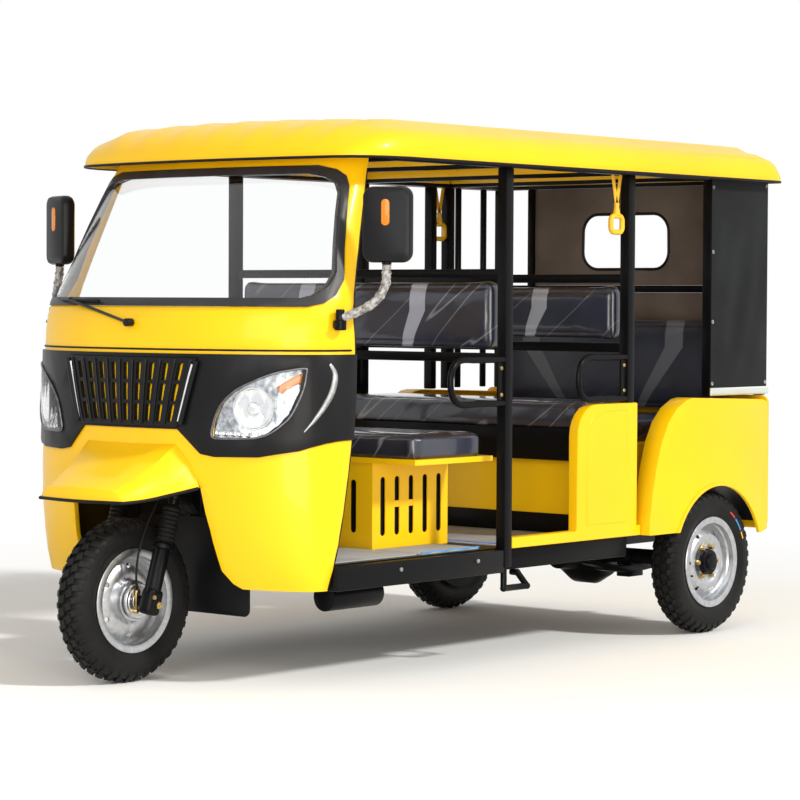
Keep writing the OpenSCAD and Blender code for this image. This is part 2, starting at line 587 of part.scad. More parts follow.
// fork frame: origin at the axle, z along the legs
module fork_frame() place() translate([0, 0, axle_z]) rotate([-rake, 0, 0]) children();
module front_fork() color(black) fork_frame() {
  pair() {
    translate([leg_x, 0, -26]) cylinder(r = 25, h = 220);
    translate([leg_x, 0, 190]) cylinder(r = 17, h = 175);
    translate([leg_x - 34, 0, 0]) rotate([0, 90, 0]) cylinder(r = 16, h = 62);
  }
  rotate([0, 90, 0]) cylinder(r = pin_r, h = 2 * leg_x, center = true);
  translate([0, 0, 340]) slab(-leg_x - 30, leg_x + 30, -32, yoke_offset + 32, 0, 26, 30);
  translate([0, yoke_offset, 350]) cylinder(r = stem_r, h = 440);
  translate([56, 0, 0]) rotate([0, 90, 0]) cylinder(r = 56, h = 8);
  translate([60, 0, 0]) rotate([0, 90, 0]) cylinder(r = 18, h = 32);
}
module fork_boots() color([0.1, 0.1, 0.1]) fork_frame() pair() translate([leg_x, 0, 194 + seam])
  rotate_extrude() polygon(concat([[17 + seam, 0]],
    [for (i = [0 : 8], s = [0, 1]) [s == 0 ? 31 : 26, i * 14 + s * 7 + 2]], [[17 + seam, 130]]));
module handlebar() color(black) fork_frame() {
  a = [0, yoke_offset, 802.5];
  translate([0, yoke_offset, 790 + seam]) cylinder(r = 26, h = 26);
  pair() {
    rod(a, [150, yoke_offset, 802.5], 11);
    ball([150, yoke_offset, 802.5], 12);
    rod([150, yoke_offset, 802.5], [215, yoke_offset + 30, 838], 11);
    ball([215, yoke_offset + 30, 838], 12);
    rod([215, yoke_offset + 30, 838], [270, yoke_offset + 60, 838], 11);
    rod([262, yoke_offset + 56, 838], [350, yoke_offset + 104, 838], 17);
  }
  slab(-75, 75, yoke_offset - 70, yoke_offset - 10, 812, 872, 20);
}

// tyre and rim sections: radius, offset along the axle
module tyre() rotate([0, 90, 0]) rotate_extrude() polygon([[bead_r + 0.3, -44], [bead_r + 18, -46],
  [bead_r + 32, -52], [wheel_r - 58, -tyre_half], [wheel_r - 34, -tyre_half + 1], [wheel_r - 14, -tyre_half + 6],
  [wheel_r - 5, -tyre_half + 14], [wheel_r - 1, -tyre_half + 26], [wheel_r, 0], [wheel_r - 1, tyre_half - 26],
  [wheel_r - 5, tyre_half - 14], [wheel_r - 14, tyre_half - 6], [wheel_r - 34, tyre_half - 1],
  [wheel_r - 58, tyre_half], [bead_r + 32, 52], [bead_r + 18, 46], [bead_r + 0.3, 44]]);
module barrel() rotate_extrude() polygon([[bead_r - 7, -50], [bead_r + 16, -52], [bead_r + 18, -49],
  [bead_r + 14, -46.5], [bead_r, -44.5], [bead_r, 44.5], [bead_r + 14, 46.5], [bead_r + 18, 49],
  [bead_r + 16, 52], [bead_r - 7, 50], [bead_r - 7, 30], [bead_r - 12, 24], [bead_r - 12, -24],
  [bead_r - 7, -30]]);

module front_rim() color(silver) place() translate([0, 0, axle_z]) rotate([0, 90, 0]) difference() {
  union() {
    barrel();
    rotate_extrude() polygon([[60 * disc, 20], [78 * disc, 26], [108 * disc, 22], [128 * disc, 10],
      [bead_r - 10, 6], [bead_r - 10, 0], [126 * disc, 4], [106 * disc, 15], [78 * disc, 19], [60 * disc, 14]]);
    translate([0, 0, -48]) cylinder(r = 66, h = 96);
  }
  cylinder(r = pin_r + running_gap, h = 200, center = true);
  for (a = [0 : 60 : 300]) rotate([0, 0, a]) translate([112 * disc, 0, -20]) cylinder(r = 9, h = 60);
}
module front_tyre() color(black) place() translate([0, 0, axle_z]) tyre();

module rear_rim() rotate([0, 90, 0]) difference() {
  union() {
    barrel();
    rotate_extrude() polygon([[30, 26], [72 * disc, 26], [84 * disc, 32], [104 * disc, 30], [124 * disc, 12],
      [bead_r - 10, 4], [bead_r - 10, -3], [122 * disc, 4], [100 * disc, 22], [84 * disc, 24], [72 * disc, 18],
      [30, 18]]);
    translate([0, 0, -34]) cylinder(r = 44, h = 78);
  }
  translate([0, 0, -80]) cylinder(r = 15 + running_gap, h = 103);
  for (a = [0 : 60 : 300]) rotate([0, 0, a + 30]) translate([112 * disc, 0, -20]) cylinder(r = 8, h = 60);
}
module rear_rim_left() color(silver) place() translate([half_track, wheelbase, axle_z]) rear_rim();
module rear_tyre_left() color(black) place() translate([half_track, wheelbase, axle_z]) tyre();
module rear_rim_right() mirror([1, 0, 0]) rear_rim_left();
module rear_tyre_right() mirror([1, 0, 0]) rear_tyre_left();

chassis_frame();
neck();
floor_pan();
floor_mat();
sill_panels();
rear_wings();
rear_panel();
tail_lamps();
cab_nose();
cab_upper();
nose_mask();
grille();
headlamp_lenses();
headlamp_bowls();
front_mudguard();
splash_guard();
windscreen();
windscreen_seal();
wiper();
mirror_heads();
mirror_arms();
roof_shell();
body_posts();
body_rails();
engine_box();
driver_cushion();
front_backrest();
middle_seat_frame();
middle_seat_riser();
middle_cushion();
middle_backrest();
rear_seat_base();
rear_cushion();
rear_backrest();
rear_curtain();
side_curtain();
grab_handles();
hand_straps();
rear_axle();
leaf_springs();
engine_block();
drive_shaft();
exhaust();
foot_steps();
front_fork();
fork_boots();
handlebar();
front_rim();
front_tyre();
rear_rim_left();
rear_tyre_left();
rear_rim_right();
rear_tyre_right();
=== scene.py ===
# %% [markdown]
# # A three-wheeled passenger motor tricycle
# The solid model comes in as a fixed frame: every panel, tube, seat and wheel already has its real size
# and place. This lesson dresses it. Pressed panels get softly broken edges and paint, the seats become
# upholstered pads, the tyres get their tread, and small trim, bolts and lamps are modelled on top.

# %% Load the frame
import json
import math

import bmesh
import bpy
from mathutils import Matrix, Vector

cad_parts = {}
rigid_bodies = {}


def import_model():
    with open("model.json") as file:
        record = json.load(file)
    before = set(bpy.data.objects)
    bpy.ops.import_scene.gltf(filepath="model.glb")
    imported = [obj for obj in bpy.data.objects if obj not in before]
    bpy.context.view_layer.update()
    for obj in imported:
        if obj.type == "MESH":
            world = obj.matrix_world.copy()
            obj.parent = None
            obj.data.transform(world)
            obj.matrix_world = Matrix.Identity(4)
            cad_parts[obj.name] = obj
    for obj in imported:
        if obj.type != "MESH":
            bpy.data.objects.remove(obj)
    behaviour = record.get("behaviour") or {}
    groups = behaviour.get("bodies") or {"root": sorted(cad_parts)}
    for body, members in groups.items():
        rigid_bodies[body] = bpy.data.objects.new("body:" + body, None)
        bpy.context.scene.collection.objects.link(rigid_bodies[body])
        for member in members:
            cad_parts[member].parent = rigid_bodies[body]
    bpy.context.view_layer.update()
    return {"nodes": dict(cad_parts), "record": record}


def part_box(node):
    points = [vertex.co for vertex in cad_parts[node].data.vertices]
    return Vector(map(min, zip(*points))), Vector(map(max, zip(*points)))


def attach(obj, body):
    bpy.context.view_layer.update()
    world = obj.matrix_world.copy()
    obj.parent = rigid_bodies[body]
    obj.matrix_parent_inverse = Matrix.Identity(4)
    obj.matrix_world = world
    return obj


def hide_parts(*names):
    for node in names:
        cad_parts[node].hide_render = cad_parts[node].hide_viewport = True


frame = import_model()
nodes = frame["nodes"]
bodies = frame["record"]["behaviour"]["bodies"]
body_of = {node: body for body, members in bodies.items() for node in members}
slot_of = {s["node"]: s["material_slot"] for s in frame["record"]["subparts"]}
for material in list(bpy.data.materials):
    bpy.data.materials.remove(material)
bpy.context.scene.view_settings.view_transform = "Standard"

# %% [markdown]
# The camera stands where the photographer stood: in front of the left front corner, a little above the
# seats, far back with a long lens. Its place was worked out from the wheels, pillars and roof line.

# %% Camera
CAMERA_PLACE = Vector((6.4915, -7.5885, 1.2375))
CAMERA_TARGET = Vector((0.0, 0.0999, 0.8766))
CAMERA_ROLL = math.radians(0.28)
LENS_MM = 126.0

camera_data = bpy.data.cameras.new("camera")
camera_data.lens = LENS_MM
camera_data.sensor_width = 36.0
camera = bpy.data.objects.new("camera", camera_data)
bpy.context.scene.collection.objects.link(camera)
aim = (CAMERA_TARGET - CAMERA_PLACE).to_track_quat("-Z", "Y").to_matrix().to_4x4()
camera.matrix_world = Matrix.Translation(CAMERA_PLACE) @ aim @ Matrix.Rotation(CAMERA_ROLL, 4, "Z")
bpy.context.scene.camera = camera
print("camera at", tuple(CAMERA_PLACE))

# %% [markdown]
# Plain light: a white world that stays white behind the object, a broad sun on the vehicle's left side,
# where the photograph is brightest, and two large soft lamps, one in front and one low at the left. The floor
# is pale and takes the shadow. Nodes are added by one helper, which sets or links each input by its name.

# %% Helpers for nodes and lamps


def add_node(tree, kind, inputs, **settings):
    """A new node. Each input takes a value, or a link where another node's output is given."""
    node = tree.nodes.new("ShaderNode" + kind)
    for key, value in settings.items():
        setattr(node, key, value)
    for key, value in inputs.items():
        if isinstance(value, bpy.types.NodeSocket):
            tree.links.new(value, node.inputs[key])
        else:
            node.inputs[key].default_value = value
    return node


def maths(tree, kind, a, b):
    return add_node(tree, "Math", {0: a, 1: b}, operation=kind).outputs[0]


def add_lamp(name, kind, place, target, power, size, colour=(1, 1, 1)):
    lamp = bpy.data.lights.new(name, kind)
    lamp.energy = power
    lamp.color = colour
    if kind == "SUN":
        lamp.angle = size
    else:
        lamp.size = size
    holder = bpy.data.objects.new(name, lamp)
    bpy.context.scene.collection.objects.link(holder)
    direction = Vector(target) - Vector(place)
    aim = direction.to_track_quat("-Z", "Y").to_matrix().to_4x4()
    holder.matrix_world = Matrix.Translation(place) @ aim


# %% World and lamps
WORLD_LIGHT = 0.55
WORLD_COLOUR = (1, 0.965, 0.91, 1)
SUN_STRENGTH = 2.6
SUN_SIZE = math.radians(6)
FRONT_FILL_W = 150.0
SIDE_FILL_W = 170.0

world = bpy.data.worlds.new("studio")
bpy.context.scene.world = world
world.use_nodes = True
tree = world.node_tree
tree.nodes.clear()
seen = add_node(tree, "Background", {"Color": (1, 1, 1, 1), "Strength": 1.0})
lit = add_node(tree, "Background", {"Color": WORLD_COLOUR, "Strength": WORLD_LIGHT})
rays = add_node(tree, "LightPath", {}).outputs
glossy = maths(tree, "MAXIMUM", rays["Is Glossy Ray"], rays["Is Transmission Ray"])
either = maths(tree, "MAXIMUM", rays["Is Camera Ray"], glossy)
pick = add_node(tree, "MixShader", {"Fac": either, 1: lit.outputs[0], 2: seen.outputs[0]})
add_node(tree, "OutputWorld", {"Surface": pick.outputs[0]})

add_lamp("sun", "SUN", (7, 1.5, 6), (0, 0, 0.8), SUN_STRENGTH, SUN_SIZE, (1, 0.99, 0.94))
add_lamp("side_fill", "AREA", (4.6, -4.4, 1.0), (0, 0.2, 0.6), SIDE_FILL_W, 3.0, (1, 0.93, 0.82))
add_lamp("front_fill", "AREA", (2.5, -7, 3.5), (0, -1, 0.8), FRONT_FILL_W, 4.0)
print("a white world and", len(bpy.data.lights), "lamps")

# %% Floor
FLOOR_SIZE = 60.0
FLOOR_FADE = (2.6, 5.0)

bpy.ops.object.select_all(action="DESELECT")
bpy.ops.mesh.primitive_plane_add(size=FLOOR_SIZE, location=(0, 0, -0.001))
floor = bpy.context.object
floor.name = "floor"
floor_paint = bpy.data.materials.new("pale_floor")
floor_paint.use_nodes = True
tree = floor_paint.node_tree
matt = tree.nodes["Principled BSDF"]
matt.inputs["Base Color"].default_value = (0.9, 0.9, 0.9, 1)
matt.inputs["Roughness"].default_value = 0.9
place = add_node(tree, "TexCoord", {}).outputs["Object"]
far = add_node(tree, "VectorMath", {0: place}, operation="LENGTH").outputs["Value"]
fade = add_node(tree, "MapRange", {"Value": far, "From Min": FLOOR_FADE[0], "From Max": FLOOR_FADE[1]})
white = add_node(tree, "Emission", {})
blend = add_node(tree, "MixShader", {"Fac": fade.outputs["Result"], 1: matt.outputs[0], 2: white.outputs[0]})
tree.links.new(blend.outputs[0], tree.nodes["Material Output"].inputs["Surface"])
floor.data.materials.append(floor_paint)
print("a floor of", FLOOR_SIZE, "metres")

# %% [markdown]
# Every finish is a small node tree on the piece's own Object coordinates, so it keeps its scale on every
# piece. One helper starts a material, and four more add the things that nearly all of them share: a noise,
# a colour or a value that drifts between two ends, and a bump.

# %% Material helpers


def start_material(name, colour, roughness, metallic=0.0):
    """A new material, with its node tree, its shader's inputs and its Object coordinates."""
    made = bpy.data.materials.new(name)
    made.use_nodes = True
    inputs = made.node_tree.nodes["Principled BSDF"].inputs
    inputs["Base Color"].default_value = (*colour, 1)
    inputs["Roughness"].default_value = roughness
    inputs["Metallic"].default_value = metallic
    return made, made.node_tree, inputs, add_node(made.node_tree, "TexCoord", {}).outputs["Object"]


def add_noise(tree, coords, scale, detail=3.0):
    return add_node(tree, "TexNoise", {"Vector": coords, "Scale": scale, "Detail": detail}).outputs["Fac"]


def drift_colour(tree, factor, dark, light, socket, low=0.3, high=0.7):
    ramp = add_node(tree, "ValToRGB", {"Fac": factor})
    for stop, position, colour in zip(ramp.color_ramp.elements, (low, high), (dark, light)):
        stop.position = position
        stop.color = (*colour, 1)
    tree.links.new(ramp.outputs["Color"], socket)


def drift_value(tree, factor, low, high, socket):
    span = add_node(tree, "MapRange", {"Value": factor, "To Min": low, "To Max": high})
    tree.links.new(span.outputs["Result"], socket)


def add_bump(tree, height, strength, distance, socket):
    bump = add_node(tree, "Bump", {"Height": height, "Strength": strength, "Distance": distance})
    tree.links.new(bump.outputs["Normal"], socket)


# %% [markdown]
# Paint, plastic, rubber, metal and glass. The yellow is a sprayed gloss coat with a trace of orange peel;
# the frame black is a thinner satin coat; the nose mask is moulded plastic with a fine grain. A row gives a
# dark and a light colour and a roughness; the rest are coat and peel, or grain and depth, and the shine.

# %% Paint, plastic, metal and glass finishes


def painted(name, dark, light, roughness, coat, peel, shine=0.5):
    made, tree, inputs, coords = start_material(name, light, roughness)
    inputs["Specular IOR Level"].default_value = shine
    inputs["Coat Weight"].default_value = coat
    inputs["Coat Roughness"].default_value = 0.06
    drift_colour(tree, add_noise(tree, coords, 1.7), dark, light, inputs["Base Color"])
    drift_value(tree, add_noise(tree, coords, 9.0), roughness * 0.8, roughness * 1.25, inputs["Roughness"])
    add_bump(tree, add_noise(tree, coords, peel, 2.0), 0.06, 0.002, inputs["Normal"])
    return made


def grained(name, dark, light, roughness, grain, depth, shine=0.5):
    made, tree, inputs, coords = start_material(name, light, roughness)
    inputs["Specular IOR Level"].default_value = shine
    drift_colour(tree, add_noise(tree, coords, 6.0), dark, light, inputs["Base Color"])
    add_bump(tree, add_noise(tree, coords, grain, 4.0), 0.35, depth, inputs["Normal"])
    return made


def metal(name, dark, light, roughness, stretch=(1, 1, 1)):
    made, tree, inputs, coords = start_material(name, light, roughness, 1.0)
    stretched = add_node(tree, "Mapping", {"Vector": coords, "Scale": stretch}).outputs["Vector"]
    streak = add_noise(tree, stretched, 60.0, 4.0)
    drift_colour(tree, streak, dark, light, inputs["Base Color"])
    drift_value(tree, streak, roughness * 0.8, roughness * 1.3, inputs["Roughness"])
    return made


def clear(name, colour, roughness, bend=1.45, coat=0.0):
    made, tree, inputs, coords = start_material(name, colour, roughness)
    inputs["Transmission Weight"].default_value = 1.0
    inputs["IOR"].default_value = bend
    inputs["Coat Weight"].default_value = coat
    drift_value(tree, add_noise(tree, coords, 4.0), roughness, roughness + 0.02, inputs["Roughness"])
    return made


# %% Table of finishes
PAINTS = {
    "yellow_paint": ((0.88, 0.51, 0.002), (0.94, 0.57, 0.003), 0.36, 0.15, 220.0, 0.25),
    "black_paint": ((0.003, 0.003, 0.0035), (0.006, 0.006, 0.007), 0.32, 0.04, 260.0, 0.08),
}
GRAINS = {
    "black_plastic": ((0.004, 0.004, 0.005), (0.008, 0.008, 0.009), 0.36, 900.0, 0.0003, 0.18),
    "vinyl": ((0.012, 0.014, 0.024), (0.02, 0.023, 0.038), 0.3, 700.0, 0.0005),
    "canvas": ((0.17, 0.15, 0.13), (0.26, 0.23, 0.2), 0.85, 500.0, 0.001),
    "curtain": ((0.016, 0.016, 0.018), (0.026, 0.026, 0.028), 0.6, 800.0, 0.0006),
    "mat": ((0.26, 0.27, 0.28), (0.36, 0.37, 0.38), 0.7, 400.0, 0.001),
    "rubber": ((0.005, 0.005, 0.005), (0.010, 0.010, 0.010), 0.45, 300.0, 0.0008, 0.12),
    # Painted highlight: the windscreen seal is a lighter grey than the other rubber, standing in for the
    # sheen of sunlight on it.
    "seal_rubber": ((0.016, 0.016, 0.017), (0.028, 0.028, 0.029), 0.4, 300.0, 0.0008, 0.3),
    "tyre": ((0.006, 0.006, 0.006), (0.013, 0.013, 0.013), 0.5, 240.0, 0.0012, 0.12),
    "strap": ((0.8, 0.42, 0.01), (0.9, 0.5, 0.015), 0.45, 300.0, 0.0006),
}
METALS = {
    "lamp_edge": ((0.10, 0.10, 0.11), (0.20, 0.20, 0.21), 0.35),
    "bowl": ((0.18, 0.19, 0.22), (0.75, 0.77, 0.80), 0.16),
    "rim": ((0.44, 0.45, 0.47), (0.58, 0.59, 0.61), 0.33),
    "arm": ((0.6, 0.61, 0.62), (0.75, 0.76, 0.77), 0.3),
    "cast": ((0.3, 0.31, 0.32), (0.45, 0.46, 0.47), 0.5),
}
CLEARS = {
    "glass": ((0.975, 0.985, 0.985), 0.0, 1.01, 0.8),
    "lens": ((0.97, 0.98, 0.98), 0.0),
    "red_lens": ((0.6, 0.02, 0.01), 0.05),
}
finish = {}
for maker, rows in ((painted, PAINTS), (grained, GRAINS), (metal, METALS), (clear, CLEARS)):
    for name, row in rows.items():
        finish[name] = maker(name, *row)
for name, node in nodes.items():
    node.data.materials.clear()
    node.data.materials.append(finish[slot_of[name]])
print(len(finish), "finishes on", len(nodes), "nodes")

# %% [markdown]
# Pressed panels and square tubes have no razor edges. A copy of each solid is merged into one mesh, its
# sharp edges get a small bevel, and it is shaded smooth by angle, so that light runs along every edge. On
# flat panels with holes the normals are weighted by area, so that no long thin face bends the light.

# %% Pieces with broken edges
SHARP = math.radians(35)
MERGE = 0.00002


def select_only(piece):
    bpy.ops.object.select_all(action="DESELECT")
    piece.select_set(True)
    bpy.context.view_layer.objects.active = piece


def apply_modifier(piece, kind, **settings):
    """Adds a modifier with its settings and applies it."""
    modifier = piece.modifiers.new(kind, kind)
    for key, value in settings.items():
        setattr(modifier, key, value)
    select_only(piece)
    bpy.ops.object.modifier_apply(modifier=kind)


def settle(piece, body, slot, *replaced):
    """Rides a finished piece on its body and hides the solids that it stands for. The slot is not used."""
    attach(piece, body)
    if replaced:
        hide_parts(*replaced)
    return piece


def copy_of(node, name):
    """A free copy of a solid, merged into one mesh and left in edit mode with all of it selected."""
    piece = nodes[node].copy()
    piece.data = nodes[node].data.copy()
    for key in list(piece.keys()):
        del piece[key]
    piece.name = name
    piece.parent = None
    bpy.context.scene.collection.objects.link(piece)
    select_only(piece)
    bpy.ops.object.mode_set(mode="EDIT")
    bpy.ops.mesh.select_all(action="SELECT")
    bpy.ops.mesh.remove_doubles(threshold=MERGE)
    return piece


def softened(node, edge):
    piece = copy_of(node, node + "_piece")
    bpy.ops.mesh.customdata_custom_splitnormals_clear()
    bpy.ops.mesh.dissolve_limited(angle_limit=math.radians(0.5))
    bpy.ops.object.mode_set(mode="OBJECT")
    if edge:
        apply_modifier(piece, "BEVEL", width=edge, segments=2, limit_method="ANGLE", angle_limit=SHARP,
                       harden_normals=False)
    bpy.ops.object.shade_smooth_by_angle(angle=SHARP)
    if node in FLAT_PANELS:
        apply_modifier(piece, "WEIGHTED_NORMAL", mode="FACE_AREA", weight=100, keep_sharp=True)
    return settle(piece, body_of[node], slot_of[node], node)


# %% Every panel, tube and casting
FLAT_PANELS = ("rear_panel", "sill_panels", "engine_box", "rear_seat_base", "middle_seat_riser", "floor_pan")
EDGES = {
    "roof_shell": 0.002, "cab_nose": 0.003, "cab_upper": 0.003, "nose_mask": 0.002, "grille": 0.0015,
    "front_mudguard": 0.002, "windscreen_seal": 0.003, "windscreen": 0.0, "headlamp_lenses": 0.001,
    "headlamp_bowls": 0.0, "sill_panels": 0.006, "rear_wings": 0.002, "rear_panel": 0.002,
    "engine_box": 0.0012, "body_posts": 0.004, "body_rails": 0.004, "chassis_frame": 0.004,
    "middle_seat_frame": 0.003, "rear_seat_base": 0.004, "middle_seat_riser": 0.003, "mirror_heads": 0.016,
    "front_rim": 0.0012, "rear_rim_left": 0.0012, "rear_rim_right": 0.0012, "front_fork": 0.003,
    "fork_boots": 0.0012, "handlebar": 0.003, "splash_guard": 0.0015, "floor_mat": 0.002, "rear_axle": 0.003,
    "exhaust": 0.004, "tail_lamps": 0.004, "wiper": 0.001, "engine_block": 0.006, "floor_pan": 0.001,
    "leaf_springs": 0.0015, "neck": 0.003, "drive_shaft": 0.003, "foot_steps": 0.001,
}
shell = {node: softened(node, edge) for node, edge in EDGES.items()}
# Painted highlight: the seal takes the lighter rubber that stands in for the sheen of sunlight.
shell["windscreen_seal"].data.materials[0] = finish["seal_rubber"]
print("softened", len(shell), "solids")

# %% [markdown]
# A tyre is a ring, so its section is drawn once and spun about the axle. The helper draws a section point by
# point from a single vertex, the way one extrudes along an outline by hand, then spins, merges the seam and
# points the faces outwards. The same helper turns nuts, hub caps and lamp reflectors later on.

# %% Turned pieces


def pick_faces(piece, test):
    """In edit mode, selects the faces whose centre and normal pass the test."""
    bpy.ops.mesh.select_mode(type="FACE")
    mesh = bmesh.from_edit_mesh(piece.data)
    for face in mesh.faces:
        face.select_set(bool(test(face.calc_center_median(), face.normal)))
    bmesh.update_edit_mesh(piece.data)


def spin_section(profile, centre, axis, steps):
    """Draws (along, radius) points in one half plane and spins them into a closed ring."""
    axis = Vector(axis).normalized()
    side = axis.orthogonal().normalized()
    points = [Vector(centre) + axis * along + side * radius for along, radius in profile]
    bpy.ops.mesh.select_mode(type="VERT")
    bpy.ops.mesh.primitive_plane_add(size=0.001, location=points[0])
    bpy.ops.mesh.merge(type="CENTER")
    for start, end in zip(points, points[1:]):
        bpy.ops.mesh.extrude_region_move(TRANSFORM_OT_translate={"value": end - start})
    bpy.ops.mesh.select_linked()
    bpy.ops.mesh.spin(steps=steps, angle=2 * math.pi, center=centre, axis=axis)
    bpy.ops.mesh.select_linked()
    bpy.ops.mesh.remove_doubles(threshold=MERGE)
    bpy.ops.mesh.select_linked()
    bpy.ops.mesh.normals_make_consistent(inside=False)


def start_piece(name):
    """An empty mesh object at the origin, opened in edit mode."""
    bpy.ops.object.select_all(action="DESELECT")
    bpy.ops.mesh.primitive_plane_add(size=0.001)
    piece = bpy.context.object
    piece.name = name
    bpy.ops.object.mode_set(mode="EDIT")
    bpy.ops.mesh.delete(type="VERT")
    return piece


def close_mesh(piece, material, angle=SHARP):
    bpy.ops.object.mode_set(mode="OBJECT")
    piece.data.materials.append(material)
    bpy.ops.object.shade_smooth_by_angle(angle=angle)
    return piece


def close_piece(piece, body, slot, material=None, angle=SHARP):
    """Leaves edit mode and settles the piece; its finish is the slot's own unless another is given."""
    return settle(close_mesh(piece, material or finish[slot], angle), body, slot)


# %% [markdown]
# The tread is cut for mixed roads: two rows of skewed blocks on the crown and long lugs that wrap over each
# shoulder. One pitch of blocks is modelled on top of the tyre and repeated about the axle with Spin in its
# duplicate mode, so every pitch is the same. An array along a curve could do it too, but would have to be
# fitted to the ring. The blocks reach the tyre's full radius, and the carcass between them lies deeper.

# %% Tyres with tread
WHEEL_R = 0.265
BEAD_R = 0.1523
BLOCK_DEPTH = 0.016
BLOCK_DRAFT = 0.84
PITCHES = 40
PITCH = 2 * math.pi / PITCHES
RING_STEPS = 72
WALL_RING = 0.0585
FRONT_HUB = (0.0, -1.275, 0.265)
REAR_HUB_LEFT = (0.610, 1.125, 0.265)
REAR_HUB_RIGHT = (-0.610, 1.125, 0.265)
ALONG_X = (1, 0, 0)

CARCASS = [
    (-0.044, BEAD_R), (-0.046, 0.170), (-0.050, 0.180), (-0.0545, 0.1905), (-0.0575, 0.2065),
    (-0.0572, 0.222), (-0.0545, 0.234), (-0.050, 0.2445), (-0.041, 0.2515), (-0.028, 0.2545), (0.0, 0.2553),
]
CARCASS = CARCASS + [(-along, radius) for along, radius in reversed(CARCASS[:-1])] + [CARCASS[0]]
# near and far edge along the axle, drop of the top at each, length round the tyre, pitches on, lean
BLOCKS = [
    (0.003, 0.024, 0.0, 0.0006, 0.030, 0.0, 0.004),
    (0.0275, 0.0565, 0.001, 0.019, 0.024, 0.5, 0.003),
    (0.047, 0.0577, 0.012, 0.038, 0.017, 0.5, 0.0),
]


def tread_block(piece, hub, near, far, tops, length, turn, lean):
    """One block from near to far along the axle; tops are the radii at its two ends."""
    middle = Vector(hub) + Vector(((near + far) / 2, 0, WHEEL_R - 0.012))
    bpy.ops.mesh.primitive_cube_add(size=1, location=middle)
    bpy.ops.transform.resize(value=(abs(far - near), length, 0.024), center_override=middle)
    bpy.ops.mesh.select_linked()
    mesh = bmesh.from_edit_mesh(piece.data)
    for v in [v for v in mesh.verts if v.select]:
        outer = abs(v.co.x - hub[0] - far) < abs(v.co.x - hub[0] - near)
        top = v.co.z > middle.z
        radius = tops[1] if outer else tops[0]
        v.co.z = hub[2] + (radius if top else radius - BLOCK_DEPTH)
        v.co.y = hub[1] + (v.co.y - hub[1]) * (BLOCK_DRAFT if top else 1.0) + lean * (1 if outer else -1)
        if top and outer and abs(far) > 0.05:
            v.co.x -= 0.003 * (1 if far > 0 else -1)
    bmesh.update_edit_mesh(piece.data)
    bpy.ops.transform.rotate(value=turn, orient_axis="X", center_override=hub)


def tyre(name, hub, body, node):
    piece = start_piece(name)
    spin_section(CARCASS, hub, ALONG_X, RING_STEPS)
    for side in (1, -1):
        inner, outer = side * (WALL_RING - 0.0018), side * (WALL_RING - 0.0006)
        ring = [(inner, 0.2085), (outer, 0.2065), (outer, 0.2035), (inner, 0.2015), (inner, 0.2085)]
        spin_section(ring, hub, ALONG_X, RING_STEPS)
    bpy.ops.mesh.select_all(action="DESELECT")
    for side in (1, -1):
        half = 0 if side > 0 else PITCH / 2
        for near, far, near_drop, far_drop, length, on, lean in BLOCKS:
            tops = (WHEEL_R - near_drop, WHEEL_R - far_drop)
            tread_block(piece, hub, near * side, far * side, tops, length, half + PITCH * on, lean * side)
    bpy.ops.mesh.select_all(action="DESELECT")
    mesh = bmesh.from_edit_mesh(piece.data)
    for face in mesh.faces:
        if len(face.verts) == 4 and all(len(v.link_edges) == 3 for v in face.verts):
            face.select_set(True)
    bmesh.update_edit_mesh(piece.data)
    bpy.ops.mesh.bevel(offset=0.0012, segments=1, affect="EDGES")
    bpy.ops.mesh.select_linked()
    bpy.ops.mesh.spin(steps=PITCHES - 1, dupli=True, angle=PITCH * (PITCHES - 1), center=hub, axis=ALONG_X)
    close_mesh(piece, finish["tyre"])
    print(name, len(piece.data.polygons), "faces")
    settle(piece, body, "tyre", node)


# %% The three tyres
tyre("front_tyre_treaded", FRONT_HUB, "front_wheel", "front_tyre")
tyre("rear_tyre_left_treaded", REAR_HUB_LEFT, "rear_wheel_left", "rear_tyre_left")
tyre("rear_tyre_right_treaded", REAR_HUB_RIGHT, "rear_wheel_right", "rear_tyre_right")

# %% [markdown]
# The seats are foam pads in dark vinyl with pale zig-zag stripes, still under their clear delivery film. The
# vinyl is one node tree: a leather grain, the stripes drawn by a few maths nodes on the place of each point,
# painted highlights as thin pale lines along the creases of the film, and a glossy coat with its own
# wrinkles.
# Where the film is weak the stripes are painted darker, as shade. A picture could hold the stripes as well,
# but the nodes stay sharp from near and need no unwrapping.

# %% Vinyl with stripes
NAVY_DARK = (0.010, 0.012, 0.022)
NAVY_LIGHT = (0.021, 0.026, 0.050)
STRIPE_GREY = (0.33, 0.36, 0.45)
# Painted highlight: the pale grey of the lines along the film's creases stands in for glints of light.
GLINT_GREY = (0.42, 0.44, 0.5, 1)
CREASE_TURN = (0.15, -0.72, 0.10)
CREASE_STRETCH = (3.2, 1.2, 0.26)
GLINT_EDGES = (0.492, 0.508)


